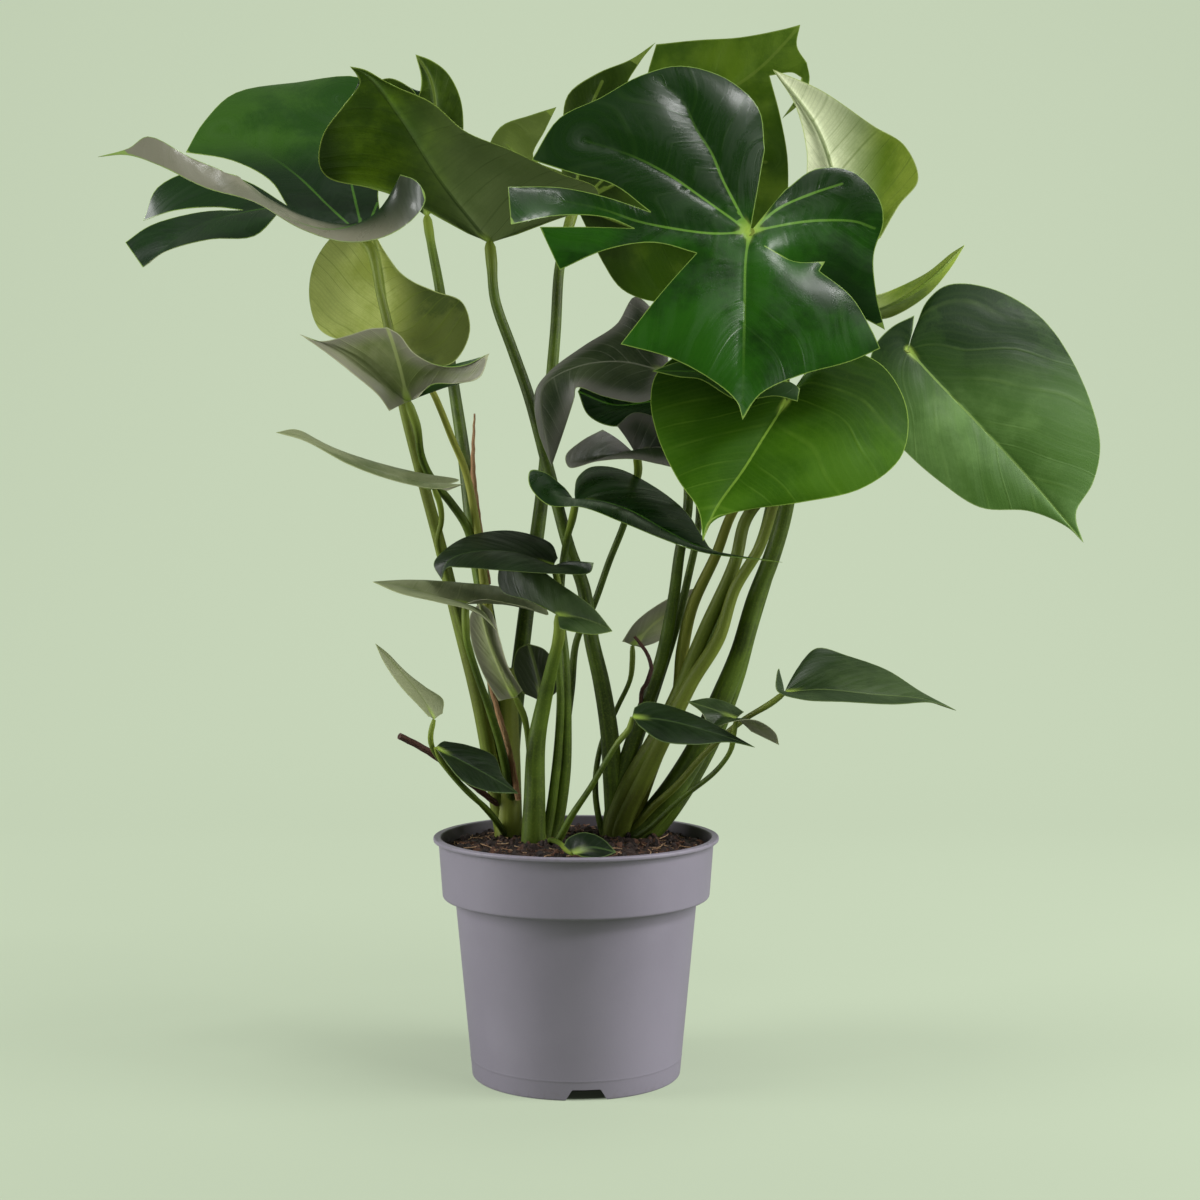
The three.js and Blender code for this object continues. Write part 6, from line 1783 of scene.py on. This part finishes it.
# Painted shade: within about a millimetre of the inside of the wall, from the band up, the colour turns dark
# grey.
out = vector_calc(tree, "LENGTH", vector_calc(tree, "MULTIPLY", place, (1.0, 1.0, 0.0)))
flare = (POT["band_top"] - POT["band_bottom"]) / (POT["height"] - POT["band_low"])
inner_foot = (inner_wall(POT["height"]) - flare * POT["height"]) * MM
from_inner = calc(tree, "SUBTRACT", calc(tree, "MULTIPLY_ADD", height, -flare, out), inner_foot)
in_band = spread(tree, height, 0.154, 0.158)
inner = times(tree, spread(tree, from_inner, 0.0005, 0.0013, 1.0, 0.0), in_band)
colour = blend_colours(tree, mottle["Patches"], POT_DARK, POT_LIGHT)
colour = laid_over(tree, colour, POT_DUST, dusty, 0.2)
colour = laid_over(tree, colour, POT_INNER_SHADE, inner, 0.85)
gloss = spread(tree, mottle["Patches"], 0.0, 1.0, 0.46, 0.56)
set_surface(tree, shader, colour, gloss, noise(tree, place, PEEL_SCALE, 2.0), PEEL_BUMP, PEEL_DEPTH)
shader.inputs["Specular IOR Level"].default_value = 0.4

pot_mesh.materials.clear()
pot_mesh.materials.append(pot_plastic)
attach(pot_piece, "root")
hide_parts("pot")
print("pot lip radius:", POT["lip"], "mm")

# %% [markdown]
# ## Soil
#
# Potting mix is dark, crumbly and uneven: lumps of peat, flakes of bark and pale fibres. The body is
# a turned block with a rough top, and the crumbs and fibres are scattered over it with Geometry
# Nodes, each turned and scaled at random from a fixed seed.

# %% Soil body
SOIL_EDGE, SOIL_HEAP, SOIL_LUMP, LUMP_FREE = 190.0, 4.4, 2.2, 6
SOIL_SIDES, SOIL_RING_COUNT = 96, 34
SOIL_GAP = 0.3


def soil_height(x, y):
    """The soil's top: a low heap, with lumps of three sizes."""
    heap = SOIL_HEAP * (1 - (x * x + y * y) / soil_edge ** 2)
    lumps = (math.sin(x * 0.11 + 1.3) * math.cos(y * 0.13 + 0.4) * 0.5
             + math.sin(x * 0.31 + y * 0.17) * math.cos(y * 0.29 - x * 0.07) * 0.3
             + math.sin(x * 0.83 + 2.0) * math.sin(y * 0.77 + x * 0.2) * 0.2)
    return SOIL_EDGE + heap + SOIL_LUMP * lumps * min(1.0, (soil_edge - math.hypot(x, y)) / LUMP_FREE)


soil_edge = inner_wall(SOIL_EDGE) - SOIL_GAP
shelf = POT["band_low"]
soil_points = [(0.0, 0.0, soil_height(0, 0))]
soil_rings = []
for r, z in [(r, None) for r in np.linspace(0, soil_edge, SOIL_RING_COUNT + 1)[1:]] + [
        (inner_wall(shelf + 3) - SOIL_GAP, shelf + 3), (inner_wall(shelf - 1) - SOIL_GAP, shelf),
        (inner_wall(over_channel) - SOIL_GAP, over_channel + SOIL_GAP),
        (POT["disc"], over_channel + SOIL_GAP), (POT["disc"] - 2, POT["floor"] + SOIL_GAP)]:
    soil_rings.append(list(range(len(soil_points), len(soil_points) + SOIL_SIDES)))
    soil_points += [(x, y, soil_height(x, y) if z is None else z) for x, y in circle_points(r, SOIL_SIDES)]
soil_faces = []
for k in range(SOIL_SIDES):
    m = (k + 1) % SOIL_SIDES
    soil_faces.append([0, soil_rings[0][k], soil_rings[0][m]])
    soil_faces += [[upper[k], lower[k], lower[m], upper[m]]
                   for upper, lower in zip(soil_rings[:-1], soil_rings[1:])]
soil_faces.append(soil_rings[-1][::-1])
print("soil edge radius:", round(soil_edge, 1), "mm")

# %% Soil finish
SOIL_MOTTLE, CHIP_SCALE = 120.0, 210.0
SOIL_BUMP, SOIL_BUMP_DEPTH, SOIL_SHARP = 0.9, 0.002, 70


def soil_finish(name, deep, light, chip):
    """Dark peat with lighter crumbs and a few reddish chips of bark."""
    material, tree, shader = new_material(name)
    place = object_place(tree)
    mottle = group_outputs(tree, mottle_group, {"Vector": place, "Scale": SOIL_MOTTLE})
    cells = node(tree, "ShaderNodeTexVoronoi", {"Vector": place, "Scale": CHIP_SCALE}).outputs
    picked = node(tree, "ShaderNodeSeparateColor", {"Color": cells["Color"]}).outputs[0]
    colour = blend_colours(tree, mottle["Patches"], deep, light)
    colour = laid_over(tree, colour, chip, spread(tree, picked, 0.72, 0.95), 0.8)
    gloss = spread(tree, mottle["Specks"], 0.0, 1.0, 0.8, 0.98)
    relief = calc(tree, "MULTIPLY_ADD", mottle["Specks"], 0.6, cells["Distance"])
    set_surface(tree, shader, colour, gloss, relief, SOIL_BUMP, SOIL_BUMP_DEPTH)
    return material


peat = soil_finish("soil_peat", srgb(24, 14, 11), srgb(49, 30, 23), srgb(98, 62, 42))
crumb = soil_finish("soil_crumb", srgb(30, 18, 13), srgb(65, 41, 31), srgb(120, 80, 56))
straw = soil_finish("soil_straw", srgb(132, 98, 68), srgb(182, 146, 108), srgb(206, 176, 136))
soil_piece = mesh_object("soil_body", soil_points, soil_faces, materials=[peat], sharp=SOIL_SHARP)
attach(soil_piece, "root")
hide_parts("soil")
print("soil faces:", len(soil_faces))

# %% [markdown]
# The crumbs lie only on the top, so they are scattered on a copy of the top's faces. Each crumb is a
# small ball that noise has pushed out of shape, and each fibre a short arc of straw.

# %% Scattering
FULL_TURN = 6.28

top_count = 1 + SOIL_SIDES * (SOIL_RING_COUNT - 1)
top_faces = [face for face in soil_faces if max(face) < top_count]


def top_of_soil(name):
    """A copy of the soil's top, to scatter on."""
    return mesh_object(name, soil_points[:top_count], top_faces)


def random_vector(tree, low, high, seed):
    """A random vector for each copy, between two."""
    return made_by(tree, "FunctionNodeRandomValue", {0: low, 1: high, "Seed": seed}, data_type="FLOAT_VECTOR")


def strewn(tree, given, thing, turn, size):
    """Copies of a thing on the faces that the tree is given."""
    ground = {"Mesh": given["Geometry"], "Density": given["Density"], "Seed": given["Seed"]}
    copies = {"Points": made_by(tree, "GeometryNodeDistributePointsOnFaces", ground),
              "Instance": thing, "Rotation": turn, "Scale": size}
    return made_by(tree, "GeometryNodeInstanceOnPoints", copies)


print("faces to scatter on:", len(top_faces))

# %% Crumb tree
CRUMB_SIZES = (0.35, 0.35, 0.3), (1.5, 1.1, 0.9)
CRUMB_NOISE, CRUMB_PUSH = 420.0, 0.0028

crumb_tree, given, result = new_tree(
    "soil_scatter", {"Density": 42000.0, "Seed": 3, "Size": 0.0019, "Finish": None})
t = crumb_tree
ball = made_by(t, "GeometryNodeMeshIcoSphere", {"Radius": given["Size"], "Subdivisions": 2})
turn = random_vector(t, (0, 0, 0), (FULL_TURN, FULL_TURN, FULL_TURN), 11)
crumbs = strewn(t, given, ball, turn, random_vector(t, *CRUMB_SIZES, 12))
loose = made_by(t, "GeometryNodeRealizeInstances", {"Geometry": crumbs})
rough_noise = node(t, "ShaderNodeTexNoise", {"Scale": CRUMB_NOISE, "Detail": 2.0}).outputs["Color"]
push = vector_calc(t, "SUBTRACT", rough_noise, (0.5, 0.5, 0.5))
far = node(t, "ShaderNodeVectorMath", {0: push, "Scale": CRUMB_PUSH}, operation="SCALE").outputs[0]
bent = made_by(t, "GeometryNodeSetPosition", {"Geometry": loose, "Offset": far})
end_tree(t, bent, given, result)
print("crumb tree nodes:", len(t.nodes))

# %% Fibre tree
FIBRE_TILT, FIBRE_SWEEP = 0.35, 1.1
FIBRE_STEPS, FIBRE_SIDES, FIBRE_RADIUS = 7, 4, 0.00042
FIBRE_HOME = (-0.011, -0.004, 0.0022)

fibre_tree, given, result = new_tree(
    "fibre_scatter", {"Density": 4200.0, "Seed": 5, "Length": 0.012, "Finish": None})
t = fibre_tree
bow = {"Resolution": FIBRE_STEPS, "Radius": given["Length"], "Sweep Angle": FIBRE_SWEEP}
thread = {"Resolution": FIBRE_SIDES, "Radius": FIBRE_RADIUS}
strand = made_by(t, "GeometryNodeCurveToMesh", {
    "Curve": made_by(t, "GeometryNodeCurveArc", bow),
    "Profile Curve": made_by(t, "GeometryNodeCurvePrimitiveCircle", thread), "Fill Caps": True})
homed = made_by(t, "GeometryNodeTransform", {"Geometry": strand, "Translation": FIBRE_HOME})
turn = random_vector(t, (-FIBRE_TILT, -FIBRE_TILT, 0), (FIBRE_TILT, FIBRE_TILT, FULL_TURN), 21)
size = node(t, "FunctionNodeRandomValue", {2: 0.4, 3: 1.1, "Seed": 22}, data_type="FLOAT").outputs[1]
end_tree(t, strewn(t, given, homed, turn, size), given, result)
print("fibre tree nodes:", len(t.nodes))

# %% Scatter crumbs, chunks and fibres
for name, tree, values in (
        ("soil_crumbs", crumb_tree, {"Density": 42000.0, "Seed": 3, "Size": 0.0019, "Finish": crumb}),
        ("soil_chunks", crumb_tree, {"Density": 7500.0, "Seed": 8, "Size": 0.0044, "Finish": peat}),
        ("soil_fibres", fibre_tree, {"Density": 4200.0, "Seed": 5, "Length": 0.012, "Finish": straw})):
    piece = run_tree(name, top_of_soil(name + "_ground"), tree, values)
    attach(piece, "root")
    print(name, "faces:", len(piece.data.polygons))
